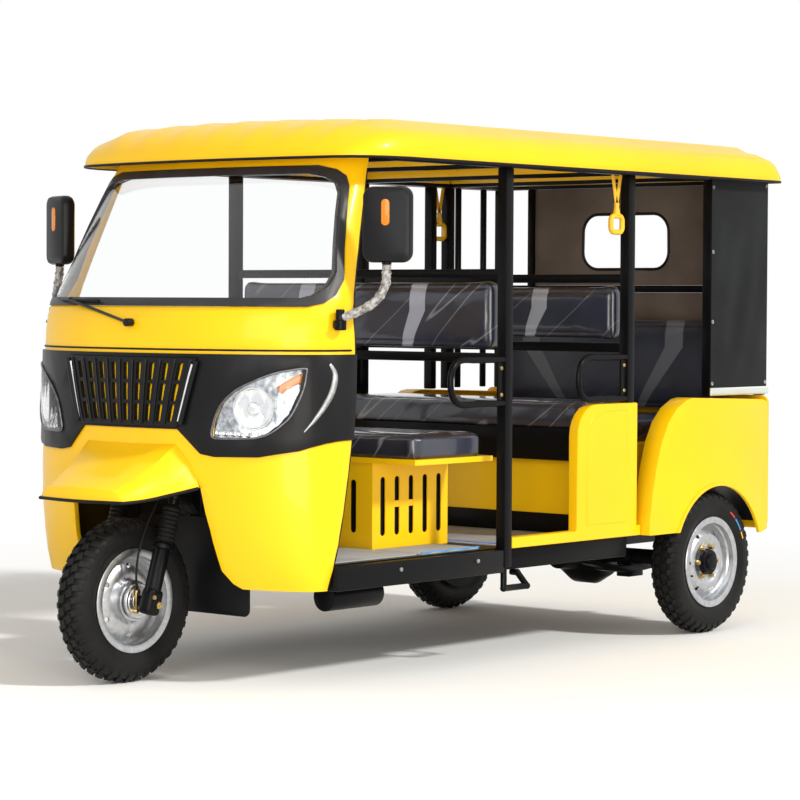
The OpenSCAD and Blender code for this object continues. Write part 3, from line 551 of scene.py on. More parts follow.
def vinyl(name, kink=0.0, centre=0.0, half=0.0, slope=0.0, taper=0.0, film_and_painted_light=1.0):
    """A stripe stands in each half of a backrest; under the kink it leans inwards and narrows."""
    made, tree, inputs, coords = start_material(name, NAVY_LIGHT, 0.34)
    place = add_node(tree, "SeparateXYZ", {0: coords}).outputs
    across = maths(tree, "ABSOLUTE", place["X"], 0.0)
    past = maths(tree, "MAXIMUM", maths(tree, "SUBTRACT", kink, place["Z"]), 0.0)
    line = maths(tree, "SUBTRACT", centre, maths(tree, "MULTIPLY", past, slope))
    width = maths(tree, "SUBTRACT", half, maths(tree, "MULTIPLY", past, taper))
    off = maths(tree, "ABSOLUTE", maths(tree, "SUBTRACT", across, line), 0.0)
    stripe = maths(tree, "LESS_THAN", off, width)
    # Painted shade: the stripes are painted darker where the film factor is low, as on the rear backrest.
    pale = [level * (0.3 + 0.7 * film_and_painted_light) for level in STRIPE_GREY]
    base = add_node(tree, "Mix", {0: stripe, 7: (*pale, 1)}, data_type="RGBA")
    drift_colour(tree, add_noise(tree, coords, 5.0), NAVY_DARK, NAVY_LIGHT, base.inputs[6])
    turned = add_node(tree, "Mapping", {"Vector": coords, "Rotation": CREASE_TURN, "Scale": CREASE_STRETCH},
                      vector_type="TEXTURE").outputs["Vector"]
    # Painted highlights: thin pale lines along the creases of the film stand in for glints of light on it.
    glint_ridge = add_node(tree, "ValToRGB", {"Fac": add_noise(tree, turned, 2.5, 0.0)})
    for stop, position in zip(glint_ridge.color_ramp.elements, GLINT_EDGES):
        stop.position = position
        stop.color = (0, 0, 0, 1)
    glint_ridge.color_ramp.elements.new(0.5).color = (1, 1, 1, 1)
    glint = maths(tree, "MULTIPLY", glint_ridge.outputs["Color"], 0.45 * film_and_painted_light)
    glinted = add_node(tree, "Mix", {0: glint, 6: base.outputs[2], 7: GLINT_GREY}, data_type="RGBA")
    tree.links.new(glinted.outputs[2], inputs["Base Color"])
    inputs["Coat Weight"].default_value = 0.05 + 0.75 * film_and_painted_light
    inputs["Coat Roughness"].default_value = 0.08
    grain = add_node(tree, "TexVoronoi", {"Vector": coords, "Scale": 420.0}).outputs["Distance"]
    add_bump(tree, grain, 0.25, 0.0006, inputs["Normal"])
    add_bump(tree, add_noise(tree, turned, 2.4, 1.5), 0.5, 0.012, inputs["Coat Normal"])
    return made


# %% One vinyl for each pad
# height of the kink, place of the stripe, its half width, its lean and its taper, strength of the film, which
# also sets the painted highlights and the painted shade of the stripes
seat_vinyl = {
    "front_backrest": vinyl("front_back_vinyl", 1.20, 0.26, 0.035, 0.45, 0.09),
    "middle_backrest": vinyl("middle_back_vinyl", 1.21, 0.25, 0.035, 0.50, 0.12),
    "rear_backrest": vinyl("rear_back_vinyl", 1.06, 0.345, 0.042, 0.70, 0.10, 0.05),
    "driver_cushion": vinyl("driver_seat_vinyl"),
    "middle_cushion": vinyl("middle_seat_vinyl"),
    "rear_cushion": vinyl("rear_seat_vinyl"),
}
print(len(seat_vinyl), "vinyl finishes")

# %% [markdown]
# Each pad starts as a copy of its solid, a little smaller, remeshed into even squares. Cloth with pressure
# inflates it like foam in a cover, a cap keeps every point close to the solid, and the side on the board is
# held flat. A sewn line is then pressed in all round, a few fingers inside the edge. Sculpting could give the
# same softness; the cloth finds it without a hand, and alike on all six pads.

# %% Upholstered pads
VOXEL = 0.011
SIM_FRAMES = 18
PRESSURE = 4.0
SEAM_HALF = 0.007
SEAM_DEPTH = 0.0035


def inflate(piece):
    cloth = piece.modifiers.new("cloth", "CLOTH")
    cloth.settings.use_pressure = True
    cloth.settings.uniform_pressure_force = PRESSURE
    cloth.settings.effector_weights.gravity = 0.0
    cloth.settings.quality = 4
    for step in range(1, SIM_FRAMES + 1):
        bpy.context.scene.frame_set(step)
    bpy.ops.object.modifier_apply(modifier="cloth")
    bpy.context.scene.frame_set(1)


def seat_pad(node, shrink, cap, axis, flat_side, seam_in):
    """A pad that is flat on one side along an axis, with a seam that far inside its edge."""
    low, high = (Vector(corner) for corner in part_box(node))
    middle = (low + high) / 2
    piece = copy_of(node, node + "_pad")
    bpy.ops.transform.resize(value=[1 - 2 * shrink / s for s in high - low], center_override=middle)
    bpy.ops.object.mode_set(mode="OBJECT")
    apply_modifier(piece, "REMESH", mode="VOXEL", voxel_size=VOXEL)
    rest = [v.co.copy() for v in piece.data.vertices]
    inflate(piece)
    face = low[axis] if flat_side < 0 else high[axis]
    edge = face - flat_side * shrink
    for vertex, old in zip(piece.data.vertices, rest):
        move = vertex.co - old
        if move.length > cap:
            vertex.co = old + move * (cap / move.length)
        if (vertex.co[axis] - edge) * flat_side > -0.004:
            vertex.co[axis] = face - flat_side * 0.0005
    apply_modifier(piece, "SUBSURF", levels=1, render_levels=1)
    plane = [i for i in range(3) if i != axis]
    for vertex in piece.data.vertices:
        inside = min(min(vertex.co[i] - low[i], high[i] - vertex.co[i]) for i in plane)
        away = (vertex.co[axis] - middle[axis]) * flat_side
        if away < 0 and abs(inside - seam_in) < SEAM_HALF:
            vertex.co[axis] += flat_side * SEAM_DEPTH * (1 - abs(inside - seam_in) / SEAM_HALF)
    piece.data.materials.clear()
    piece.data.materials.append(seat_vinyl[node])
    bpy.ops.object.shade_smooth()
    settle(piece, "body", "vinyl", node)
    print(piece.name, len(piece.data.polygons), "faces")


# %% Three benches and three backs
for bench in ("driver_cushion", "middle_cushion", "rear_cushion"):
    seat_pad(bench, 0.008, 0.012, 2, -1, 0.045)
for back in ("front_backrest", "middle_backrest", "rear_backrest"):
    seat_pad(back, 0.007, 0.010, 1, 1, 0.035)

# %% [markdown]
# Round trim, wire and piping all follow a line in space, so one helper draws a line as a curve with a round
# section, turns it into a mesh and leaves its place in the mesh. A Bezier pulled by hand could follow the
# same way, but points given in metres keep each run exactly on the panel that carries it.

# %% Round trim along a line


def tube(name, points, radius, material, closed=False, resolution=3):
    """A round section along a line. The radius is one number, or a list with one for each point."""
    even = not isinstance(radius, list)
    line = bpy.data.curves.new(name, "CURVE")
    line.dimensions = "3D"
    line.bevel_depth = radius if even else 1.0
    line.bevel_resolution = resolution
    line.use_fill_caps = True
    spline = line.splines.new("POLY")
    spline.points.add(len(points) - 1)
    for i, (point, place) in enumerate(zip(spline.points, points)):
        point.co = (*place, 1)
        point.radius = 1.0 if even else radius[i]
    spline.use_cyclic_u = closed
    piece = bpy.data.objects.new(name, line)
    bpy.context.scene.collection.objects.link(piece)
    select_only(piece)
    bpy.ops.object.convert(target="MESH")
    piece = bpy.context.object
    piece.data.materials.clear()
    piece.data.materials.append(material)
    bpy.ops.object.shade_smooth_by_angle(angle=math.radians(50 if even else 60))
    return piece


def joined(name, pieces, body, slot, *replaced):
    """Joins pieces into one under a new name, and settles it."""
    bpy.ops.object.select_all(action="DESELECT")
    for piece in pieces:
        piece.select_set(True)
    bpy.context.view_layer.objects.active = pieces[0]
    bpy.ops.object.join()
    pieces[0].name = name
    print(name, len(pieces[0].data.polygons), "faces")
    return settle(pieces[0], body, slot, *replaced)


def round_outline(half_w, half_h, corner, steps=8):
    """Points of a rectangle with round corners, anticlockwise, about the middle."""
    points = []
    for quarter, (sx, sy) in enumerate(((1, 1), (-1, 1), (-1, -1), (1, -1))):
        for step in range(steps + 1):
            turn = math.pi / 2 * (quarter + step / steps)
            points.append((sx * (half_w - corner) + corner * math.cos(turn),
                           sy * (half_h - corner) + corner * math.sin(turn)))
    return points


# %% [markdown]
# The weather curtains are coated cloth. The rear one is a stretched canvas with a window, the side one hangs
# from the roof rail and is weighted by a metal batten. Each is a grid stood on edge. The weave comes from two
# crossed wave textures in the bump, the soft folds from moving the points of the grid by a few millimetres.

# %% Woven finishes


def woven(name, dark, light, roughness, pitch, threads):
    made, tree, inputs, coords = start_material(name, light, roughness)
    drift_colour(tree, add_noise(tree, coords, 3.0, 5.0), dark, light, inputs["Base Color"], 0.35, 0.65)
    inputs["Sheen Weight"].default_value = 0.04
    inputs["Specular IOR Level"].default_value = 0.1
    waves = [add_node(tree, "TexWave", {"Vector": coords, "Scale": pitch}, bands_direction=axis)
             for axis in threads]
    crossed = maths(tree, "MULTIPLY", *(wave.outputs["Fac"] for wave in waves))
    add_bump(tree, crossed, 0.4, 0.0006, inputs["Normal"])
    return made


canvas_cloth = woven("rear_canvas", (0.120, 0.096, 0.084), (0.185, 0.152, 0.134), 0.85, 110.0, "ZX")
curtain_cloth = woven("side_curtain_cloth", (0.006, 0.0065, 0.0075), (0.013, 0.014, 0.016), 0.6, 150.0, "ZY")


def upright_grid(name, low, high, cell, cloth):
    """A grid of cells between two corners, stood on edge across the axis along which it has no size."""
    size = Vector(high) - Vector(low)
    faces_rear = size.y == 0
    width = size.x if faces_rear else size.y
    bpy.ops.object.select_all(action="DESELECT")
    bpy.ops.mesh.primitive_grid_add(
        x_subdivisions=round(width / cell), y_subdivisions=round(size.z / cell), size=1,
        location=(Vector(low) + Vector(high)) / 2,
        rotation=(math.pi / 2, 0, 0 if faces_rear else math.pi / 2))
    piece = bpy.context.object
    piece.name = name
    piece.scale = (width, size.z, 1)
    bpy.ops.object.transform_apply(location=True, rotation=True, scale=True)
    piece.data.materials.append(cloth)
    return piece


def thicken(piece, thickness):
    apply_modifier(piece, "SOLIDIFY", thickness=thickness, offset=0)
    bpy.ops.object.shade_smooth_by_angle(angle=math.radians(40))


# %% [markdown]
# The rear canvas is stretched between posts and rails in two parts, and the upper part has a window with
# round corners. A Boolean cut would leave ragged faces round the hole. So the faces inside the outline are
# deleted, and the points on the edge of the hole are moved on to the outline. A bound edge covers the cut.

# %% Rear canvas with its window
REAR_Y = 1.482
CANVAS_HALF = 0.4498
UPPER_Z = (1.2984, 1.6856)
LOWER_Z = (0.8842, 1.2696)
WINDOW_W, WINDOW_H, WINDOW_CORNER = 0.205, 0.109, 0.070
WINDOW_Z = 1.471
CORE_W, CORE_H = WINDOW_W - WINDOW_CORNER, WINDOW_H - WINDOW_CORNER


def sag(x, z):
    """How far the stretched canvas stands off its plane."""
    slack = math.cos(math.pi * x / (2 * CANVAS_HALF))
    return slack * (0.004 * math.sin(9 * x + 5 * z) + 0.003 * math.sin(23 * x - 11 * z))


def window_core(place):
    """The nearest point of the window's inner rectangle, from which its round corners are drawn."""
    return Vector((max(-CORE_W, min(CORE_W, place.x)), REAR_Y,
                   max(WINDOW_Z - CORE_H, min(WINDOW_Z + CORE_H, place.z))))


def rear_sheet(name, heights, cell):
    return upright_grid(name, (-CANVAS_HALF, REAR_Y, heights[0]), (CANVAS_HALF, REAR_Y, heights[1]), cell,
                        canvas_cloth)


upper_canvas = rear_sheet("rear_canvas_upper", UPPER_Z, 0.0124)
bpy.ops.object.mode_set(mode="EDIT")
pick_faces(upper_canvas, lambda place, normal: (place - window_core(place)).length < WINDOW_CORNER - 0.001)
bpy.ops.mesh.delete(type="FACE")
mesh = bmesh.from_edit_mesh(upper_canvas.data)
for vertex in mesh.verts:
    if vertex.is_boundary and abs(vertex.co.x) < 0.24 and abs(vertex.co.z - WINDOW_Z) < 0.14:
        core = window_core(vertex.co)
        vertex.co = core + (vertex.co - core).normalized() * WINDOW_CORNER
bmesh.update_edit_mesh(upper_canvas.data)
bpy.ops.object.mode_set(mode="OBJECT")
lower_canvas = rear_sheet("rear_canvas_lower", LOWER_Z, 0.0149)
for cloth in (upper_canvas, lower_canvas):
    for vertex in cloth.data.vertices:
        vertex.co.y += sag(vertex.co.x, vertex.co.z)
    thicken(cloth, 0.0016)
    settle(cloth, "body", "canvas", "rear_curtain")
edge_line = [(x, REAR_Y + sag(x, WINDOW_Z + z), WINDOW_Z + z)
             for x, z in round_outline(WINDOW_W, WINDOW_H, WINDOW_CORNER)]
binding = tube("rear_window_binding", edge_line, 0.006, finish["black_plastic"], True)
settle(binding, "body", "black_plastic")
print("canvas window of", 2 * WINDOW_W, "by", 2 * WINDOW_H)

# %% [markdown]
# The side curtain hangs on the left only, flat and heavy. A cloth simulation could drape it, but its folds
# are a few millimetres deep, so sine waves that fade out at the edges are enough. The eyelets are small spun
# rings, and the batten is a flat bar with one raised face.

# %% Side curtain with batten and eyelets
CURTAIN_X = 0.6524
CURTAIN_LOW = (CURTAIN_X, 1.118, 0.886)
CURTAIN_HIGH = (CURTAIN_X, 1.498, 1.716)
CURTAIN_FLAT = (0.380, 0.830)
EYELETS = ((1.128, 0.93), (1.128, 1.16), (1.128, 1.42), (1.128, 1.66), (1.488, 0.93), (1.488, 1.676))
EYELET = [(0.0, 0.003), (0.0010, 0.0042), (0.0014, 0.0056), (0.0007, 0.0070), (-0.0006, 0.0072),
          (-0.0006, 0.003), (0.0, 0.003)]

side_cloth = upright_grid("side_curtain_hung", CURTAIN_LOW, CURTAIN_HIGH, 0.0145, curtain_cloth)
for vertex in side_cloth.data.vertices:
    y = (vertex.co.y - CURTAIN_LOW[1]) / CURTAIN_FLAT[0]
    z = (vertex.co.z - CURTAIN_LOW[2]) / CURTAIN_FLAT[1]
    hang = math.sin(math.pi * y) * math.sin(math.pi * min(z * 1.15, 1.0))
    folds = 0.0028 * math.sin(9.0 * y + 2.5 * z) + 0.0022 * math.sin(17 * y - 9 * z + 1)
    vertex.co.x += hang * (0.0045 + folds)
thicken(side_cloth, 0.0018)
settle(side_cloth, "body", "curtain", "side_curtain")

eyelets = start_piece("side_curtain_eyelets")
for y, z in EYELETS:
    spin_section(EYELET, (CURTAIN_X + 0.0011, y, z), ALONG_X, 16)
close_piece(eyelets, "body", "cast")

batten_metal = metal("batten_metal", (0.66, 0.70, 0.64), (0.78, 0.80, 0.74), 0.38, (1, 0.05, 1))
bpy.ops.object.select_all(action="DESELECT")
bpy.ops.mesh.primitive_cube_add(size=1, location=(CURTAIN_X + 0.0035, 1.309, 0.8995))
batten = bpy.context.object
batten.name = "side_curtain_batten"
batten.scale = (0.004, 0.394, 0.029)
bpy.ops.object.transform_apply(location=True, rotation=True, scale=True)
bpy.ops.object.mode_set(mode="EDIT")
pick_faces(batten, lambda place, normal: normal.x > 0.9)
bpy.ops.mesh.inset(thickness=0.006)
bpy.ops.transform.translate(value=(0.0022, 0, 0))
bpy.ops.object.mode_set(mode="OBJECT")
apply_modifier(batten, "BEVEL", width=0.0008, segments=2)
batten.data.materials.append(batten_metal)
settle(batten, "body", "rim")
print("side curtain with", len(EYELETS), "eyelets and a batten")

# %% [markdown]
# The nose is a curved panel: at each height it has a half width, a front line and a side line, and its plan
# follows a soft power curve between them. The same rule is written down here, so that lamp rims, grille bars
# and trim can be laid exactly on it, a chosen distance outward.

# %% The curve of the nose
NOSE_FRONT_Y = 1.275
BODY_HALF = 0.650
ROUND_OUT = 0.87
# height, half width past the pillars, front line, side line, in millimetres
NOSE_ROWS = [
    (314, -32, 120, 291), (380, -18, 90, 302), (460, -8, 62, 316), (560, -2, 38, 333), (680, 1, 24, 352),
    (800, 2, 20, 369), (930, 2, 18, 379), (1075, 1, 20, 383), (1130, 0, 26, 381), (1180, -2, 40, 378),
    (1230, -7, 66, 385), (1290, -17, 104, 402), (1400, -36, 183, 440), (1550, -63, 293, 494),
    (1690, -88, 396, 546),
]


def nose_row(z):
    """Half width, front line and side line at a height, in metres."""
    low, high = next((a, b) for a, b in zip(NOSE_ROWS, NOSE_ROWS[1:]) if z * 1000 <= b[0])
    part = (z * 1000 - low[0]) / (high[0] - low[0])
    row = [a + (b - a) * part for a, b in zip(low, high)]
    return BODY_HALF + row[1] / 1000, row[2] / 1000, row[3] / 1000


def nose_turn(turn, z, out=0.0):
    """A point on the nose, turn degrees round from the middle, out metres off the panel."""
    wide, front, side = nose_row(z)
    swing = math.radians(turn)
    x = (wide + out) * math.copysign(abs(math.sin(swing)) ** ROUND_OUT, swing)
    y = side - (side - front + out) * abs(math.cos(swing)) ** ROUND_OUT
    return Vector((x, y - NOSE_FRONT_Y, z))


def nose_at(x, z, out=0.0):
    wide = nose_row(z)[0]
    swing = math.degrees(math.asin(min(abs(x) / wide, 1.0) ** (1 / ROUND_OUT)))
    return nose_turn(math.copysign(swing, x), z, out)


def nose_facing(x, z):
    """The outward direction of the nose at a place on it."""
    across = nose_at(x + 0.01, z) - nose_at(x - 0.01, z)
    up = nose_at(x, z + 0.01) - nose_at(x, z - 0.01)
    return across.cross(up).normalized()


def flow(points, steps=6, closed=False):
    """Rounds a chain of points into a smooth line through all of them."""
    count = len(points)
    line = []
    for i in range(count if closed else count - 1):
        a, b, c, d = (points[(i + k) % count] if closed else points[max(0, min(count - 1, i + k))]
                      for k in (-1, 0, 1, 2))
        for step in range(steps):
            t = step / steps
            line.append(tuple(0.5 * (2 * q + (r - p) * t + (2 * p - 5 * q + 4 * r - s) * t * t
                                     + (3 * q - p - 3 * r + s) * t ** 3) for p, q, r, s in zip(a, b, c, d)))
    if not closed:
        line.append(tuple(points[-1]))
    return line


def nose_line(side, places, out, steps, closed=False):
    """A smooth line on one half of the nose through places in x and z, in millimetres."""
    return flow([nose_at(side * x / 1000, z / 1000, out) for x, z in places], steps, closed)


# %% [markdown]
# Headlamps: a dark metal rim round the lens, a round reflector with its bulb, an amber turn signal at the
# outer tip and a row of small daylight domes. They lie in the shallow space between the lens and its bowl.
# The rim could be cut out of the lens; as a line with a round section it is smooth and easy to move.

# %% Headlamp details
LAMP_OUTLINE = [
    (341, 801), (345, 845), (366, 898), (400, 936), (440, 964), (514, 1000), (560, 1014), (594, 1019),
    (596, 1000), (590, 948), (568, 876), (545, 842), (516, 816), (488, 804), (460, 799), (400, 797),
]
SIGNAL_LINE = [(540, 950), (560, 967), (580, 982), (594, 991)]
REFLECTOR = [
    (0.0, 0.067), (0.0016, 0.066), (0.0018, 0.062), (0.0004, 0.060), (-0.0012, 0.052), (-0.0026, 0.036),
    (-0.0028, 0.022), (0.0010, 0.020), (0.0040, 0.015), (0.0052, 0.008), (0.0055, 0.0001), (-0.003, 0.0001),
    (-0.003, 0.067), (0.0, 0.067),
]
DOME = [(0.0, 0.008), (0.0025, 0.0078), (0.004, 0.0065), (0.0028, 0.005), (0.0024, 0.0001), (-0.002, 0.0001),
        (-0.002, 0.008), (0.0, 0.008)]
LAMP_X, LAMP_Z = 0.470, 0.892
chrome = metal("chrome_trim", (0.78, 0.79, 0.8), (0.9, 0.9, 0.91), 0.1)
amber = clear("amber_lens", (0.95, 0.28, 0.01), 0.06)
amber.node_tree.nodes["Principled BSDF"].inputs["Transmission Weight"].default_value = 0.25

reflectors = start_piece("headlamp_reflectors")
for side in (1, -1):
    spin_section(REFLECTOR, nose_at(side * LAMP_X, LAMP_Z, -0.001), nose_facing(side * LAMP_X, LAMP_Z), 48)
    for place in range(5):
        spot = nose_at(side * (0.358 + 0.024 * place), 0.815 - 0.001 * place)
        spin_section(DOME, spot, nose_facing(spot.x, spot.z), 16)
close_piece(reflectors, "body", "bowl", chrome)
rims = []
signals = []
for side in (1, -1):
    line = nose_line(side, LAMP_OUTLINE, 0.0105, 5, True)
    rims.append(tube("rim", line, 0.0038, finish["lamp_edge"], True))
    signals.append(tube("signal", nose_line(side, SIGNAL_LINE, -0.0080, 4), 0.0145, amber))
joined("headlamp_rims", rims, "body", "arm")
joined("front_turn_signals", signals, "body", "strap")

# %% [markdown]
# Grille and mask trim: round bars between the slots, a bright strip at each end of the grille and a tapered
# crescent behind each headlamp. Pieces modelled flat and bent afterwards would lift off somewhere; lines that
# come from the nose rule sit on the mask all along.

# %% Grille bars, strips and crescents
BAR_PITCH = 46
BAR_FLARE = 0.06
GRILLE_FOOT = 830
BAR_HEIGHTS = (0.836, 0.850, 0.88, 0.94, 1.0, 1.034, 1.042)
STRIP_LINE = [(272, 1030), (258, 985), (234, 900), (218, 848)]
END_LINE = [(286, 1040), (271, 985), (246, 900), (227, 838)]
CRESCENT_LINE = [(634, 1034), (640, 1004), (639.5, 965), (633, 918), (616, 862), (584, 800)]
satin = metal("satin_trim", (0.24, 0.25, 0.25), (0.42, 0.43, 0.43), 0.42)
bars = []
for i in range(-5, 5):
    column = []
    for z in BAR_HEIGHTS:
        x = (i + 0.5) * (BAR_PITCH + (z * 1000 - GRILLE_FOOT) * BAR_FLARE) / 1000
        column.append(nose_at(x, z, 0.0155 if 0.84 < z < 1.04 else 0.0125))
    bars.append(tube("grille_bar", flow(column, 4), 0.0062, finish["black_plastic"]))
joined("grille_bars", bars, "body", "black_plastic")

strips = []
ends = []
for side in (1, -1):
    line = nose_line(side, STRIP_LINE, 0.0150, 6)
    taper = [0.0060 - 0.0020 * i / len(line) for i in range(len(line))]
    strips.append(tube("grille_strip", line, taper, chrome))
    ends.append(tube("grille_end", nose_line(side, END_LINE, 0.0170, 6), 0.0085, finish["black_plastic"]))
    arc = nose_line(side, CRESCENT_LINE, 0.0045, 6)
    swell = [0.0015 + 0.0105 * math.sin(math.pi * min(1.0, 0.10 + 0.90 * i / (len(arc) - 1))) ** 0.8
             for i in range(len(arc))]
    strips.append(tube("mask_crescent", arc, swell, satin))
joined("grille_ends", ends, "body", "black_plastic")
joined("nose_bright_trim", strips, "body", "cast")

# %% [markdown]
# Rubber edges close the sheet metal: a dark joint between the two halves of the cab, a lip round the roof, a
# lip under the mudguard and a strip down each door edge. Each is one line on the edge that it covers.

# %% Rubber edges
CAB_JOINT_Z = 1.0755
ROOF_EDGE_Z = 1.692
ROOF_FRONT_HALF = 560
ROOF_CORNER = [(612, 404), (648, 438), (676, 484), (692, 535), (700, 590), (700, 670), (700, 800),
               (700, 1400), (700, 2000), (700, 2720), (697, 2770), (692, 2797), (684, 2809)]
GUARD_EDGE = [(290, 44, 637), (240, -40, 616), (212, -116, 602), (190, -188, 597), (176, -196, 597),
              (128, -206, 597), (64, -218, 597), (0, -222, 597)]
DOOR_EDGE_IN = 0.005
DOOR_HEIGHTS = (0.318, 0.38, 0.46, 0.56, 0.68, 0.80, 0.93, 1.07, 1.13, 1.18, 1.23, 1.29, 1.40, 1.55, 1.66)
rubber = finish["rubber"]


def from_front(x, y, z):
    """A place in the solid's own millimetres, in which y starts at the front axle."""
    return x / 1000, y / 1000 - NOSE_FRONT_Y, z / 1000


joint_line = [nose_turn(turn, CAB_JOINT_Z, 0.0002) for turn in range(-88, 89, 4)]
settle(tube("cab_joint", joint_line, 0.0032, rubber), "body", "rubber")

lip = [(x, 330 + 50 * (x / ROOF_FRONT_HALF) ** 2) for x in range(-ROOF_FRONT_HALF, ROOF_FRONT_HALF + 1, 56)]
lip = lip + ROOF_CORNER + [(-x, y) for x, y in reversed(ROOF_CORNER)]
lip = [from_front(x, y, ROOF_EDGE_Z * 1000) for x, y in lip]
settle(tube("roof_edge_lip", lip, 0.0048, rubber, True), "body", "rubber")

guard = GUARD_EDGE + [(-x, y, z) for x, y, z in reversed(GUARD_EDGE[:-1])]
guard = flow([from_front(x, y, z - 1) for x, y, z in guard], 4)
settle(tube("mudguard_edge_lip", guard, 0.0055, rubber), "body", "rubber")

door_edges = []
for side in (1, -1):
    rows = [(*nose_row(z), z) for z in DOOR_HEIGHTS]
    line = [(side * (wide - DOOR_EDGE_IN), rear - NOSE_FRONT_Y + 0.0005, z) for wide, front, rear, z in rows]
    door_edges.append(tube("door_edge", flow(line, 3), 0.0055, rubber))
joined("door_edge_strips", door_edges, "body", "rubber")

# %% [markdown]
# Small hardware is built from three moves. A block is a cube that is stretched and bevelled, a plate is a
# flat outline that is extruded and bevelled, and a nut is a section spun in six steps. Each works in edit
# mode, so that many of them can share one piece.

# %% Blocks, plates and nuts
NUT_SHARP = math.radians(25)
ALONG_Y = (0, 1, 0)
ALONG_Z = (0, 0, 1)


def block(centre, size, edge):
    """In edit mode, a bevelled block."""
    bpy.ops.mesh.select_mode(type="VERT")
    bpy.ops.mesh.select_all(action="DESELECT")
    bpy.ops.mesh.primitive_cube_add(size=1, location=centre)
    bpy.ops.transform.resize(value=size, center_override=centre)
    bpy.ops.mesh.bevel(offset=edge, segments=3, affect="EDGES")
    bpy.ops.mesh.select_linked()


def plate(piece, outline, origin, u, v, thick, edge):
    """In edit mode, a flat plate with an outline in u and v, raised by its thickness along u x v."""
    origin, u, v = Vector(origin), Vector(u).normalized(), Vector(v).normalized()
    bpy.ops.mesh.select_mode(type="VERT")
    bpy.ops.mesh.select_all(action="DESELECT")
    bpy.ops.mesh.primitive_circle_add(vertices=len(outline), radius=0.01, fill_type="NGON", location=origin)
    mesh = bmesh.from_edit_mesh(piece.data)
    ring = [vertex for vertex in mesh.verts if vertex.select]
    ring.sort(key=lambda vertex: math.atan2(vertex.co.y - origin.y, vertex.co.x - origin.x))
    for vertex, (a, b) in zip(ring, outline):
        vertex.co = origin + u * a + v * b
    bmesh.update_edit_mesh(piece.data)
    bpy.ops.mesh.extrude_region_move(TRANSFORM_OT_translate={"value": u.cross(v) * thick})
    bpy.ops.mesh.bevel(offset=edge, segments=2, affect="EDGES")
    bpy.ops.mesh.select_linked()
    bpy.ops.mesh.normals_make_consistent(inside=False)


def nut(centre, toward, radius, height):
    """In edit mode, a nut with a rounded stud end."""
    spin_section([(0, 0.0001), (0, radius), (height * 0.8, radius), (height, radius * 0.86),
                  (height, radius * 0.5), (height * 1.3, radius * 0.46), (height * 1.4, 0.0001), (0, 0.0001)],
                 centre, toward, 6)


# %% [markdown]
# The rear wheels turn on black hubs with six plated nuts and a valve in the rim well. They are round or
# six-sided, so each is a section spun about its own line. The paint on the left sidewall is a mark in three
# colours, made as three short raised arcs, which keep a clean edge without a picture.

# %% Rear hubs, nuts and valves
HUB = [(0.0264, 0.0442), (0.0264, 0.0490), (0.0290, 0.0490), (0.0310, 0.0456), (0.0440, 0.0452),
       (0.0460, 0.0430), (0.0460, 0.0310), (0.0520, 0.0300), (0.0560, 0.0270), (0.0575, 0.0180),
       (0.0578, 0.0001), (0.0445, 0.0001), (0.0445, 0.0442), (0.0264, 0.0442)]
NUTS, NUT_CIRCLE, RIM_FACE = 6, 0.060, 0.0262
VALVE = [(0.010, 0.0050), (0.034, 0.0046), (0.036, 0.0036), (0.050, 0.0034), (0.052, 0.0001), (0.010, 0.0001),
         (0.010, 0.0050)]
brass = metal("plated_brass", (0.40, 0.28, 0.10), (0.60, 0.44, 0.18), 0.28)
mark_red = painted("mark_red", (0.62, 0.03, 0.03), (0.80, 0.06, 0.05), 0.5, 0.0, 300.0)
mark_blue = painted("mark_blue", (0.03, 0.25, 0.65), (0.05, 0.34, 0.80), 0.5, 0.0, 300.0)


def on_hub(hub, side, along, radius, turn):
    """A point beside a wheel: along outward, at a radius, turned up from the rear."""
    swing = math.radians(turn)
    return Vector(hub) + Vector((side * along, radius * math.cos(swing), radius * math.sin(swing)))


for side, hub, body in ((1, REAR_HUB_LEFT, "rear_wheel_left"), (-1, REAR_HUB_RIGHT, "rear_wheel_right")):
    outward = (side, 0, 0)
    sleeve = start_piece(body + "_hub")
    spin_section(HUB, hub, outward, 48)
    close_piece(sleeve, body, "black_paint")
    studs = start_piece(body + "_nuts")
    for place in range(NUTS):
        nut(on_hub(hub, side, RIM_FACE, NUT_CIRCLE, 360 / NUTS * place), outward, 0.0095, 0.011)
    close_piece(studs, body, "arm", brass, NUT_SHARP)
    valve = start_piece(body + "_valve")
    spin_section(VALVE, on_hub(hub, side, 0, 0.131, 200), outward, 16)
    close_piece(valve, body, "rubber")
    print(body, "hub", len(sleeve.data.polygons), "nuts", len(studs.data.polygons))

marks = []
for paint, start, end in ((mark_red, 58, 47), (mark_blue, 46, 30), (finish["strap"], 29, 20)):
    arc = [on_hub(REAR_HUB_LEFT, 1, 0.0560, 0.212, turn) for turn in range(start, end, -1)]
    marks.append(tube("sidewall_mark", arc, 0.0034, paint))
joined("rear_tyre_marks", marks, "rear_wheel_left", "strap")

# %% [markdown]
# The front wheel sits in a raked fork. Each leg ends in a cast lug with two bolts. On the left side the
# brake plate is turned from cast alloy, its cam is worked by a plated lever, and the cable climbs in front of
# the leg to the yoke. All of it belongs to the steering body, so it swings with the fork.

# %% Fork sizes and frame
RAKE = math.radians(18)
LEG_X = 0.120
LUG_FACE_X = 0.1458
COLLAR = [(0, 0.0252), (0, 0.0325), (0.012, 0.0325), (0.014, 0.0305), (0.014, 0.0252), (0, 0.0252)]
BRAKE_PLATE = [(0.0557, 0.0190), (0.0557, 0.0573), (0.0640, 0.0573), (0.0672, 0.0550), (0.0672, 0.0475),
               (0.0692, 0.0455), (0.0702, 0.0300), (0.0716, 0.0290), (0.0716, 0.0190), (0.0557, 0.0190)]
CAM = [(0, 0.0001), (0, 0.0095), (0.009, 0.0090), (0.010, 0.0075), (0.0125, 0.0060), (0.0125, 0.0001),
       (0, 0.0001)]
CABLE_RUN = [(0.077, -1.290, 0.300), (0.080, -1.300, 0.350), (0.083, -1.290, 0.430), (0.084, -1.250, 0.520),
             (0.084, -1.192, 0.606)]
CABLE_R = 0.0036


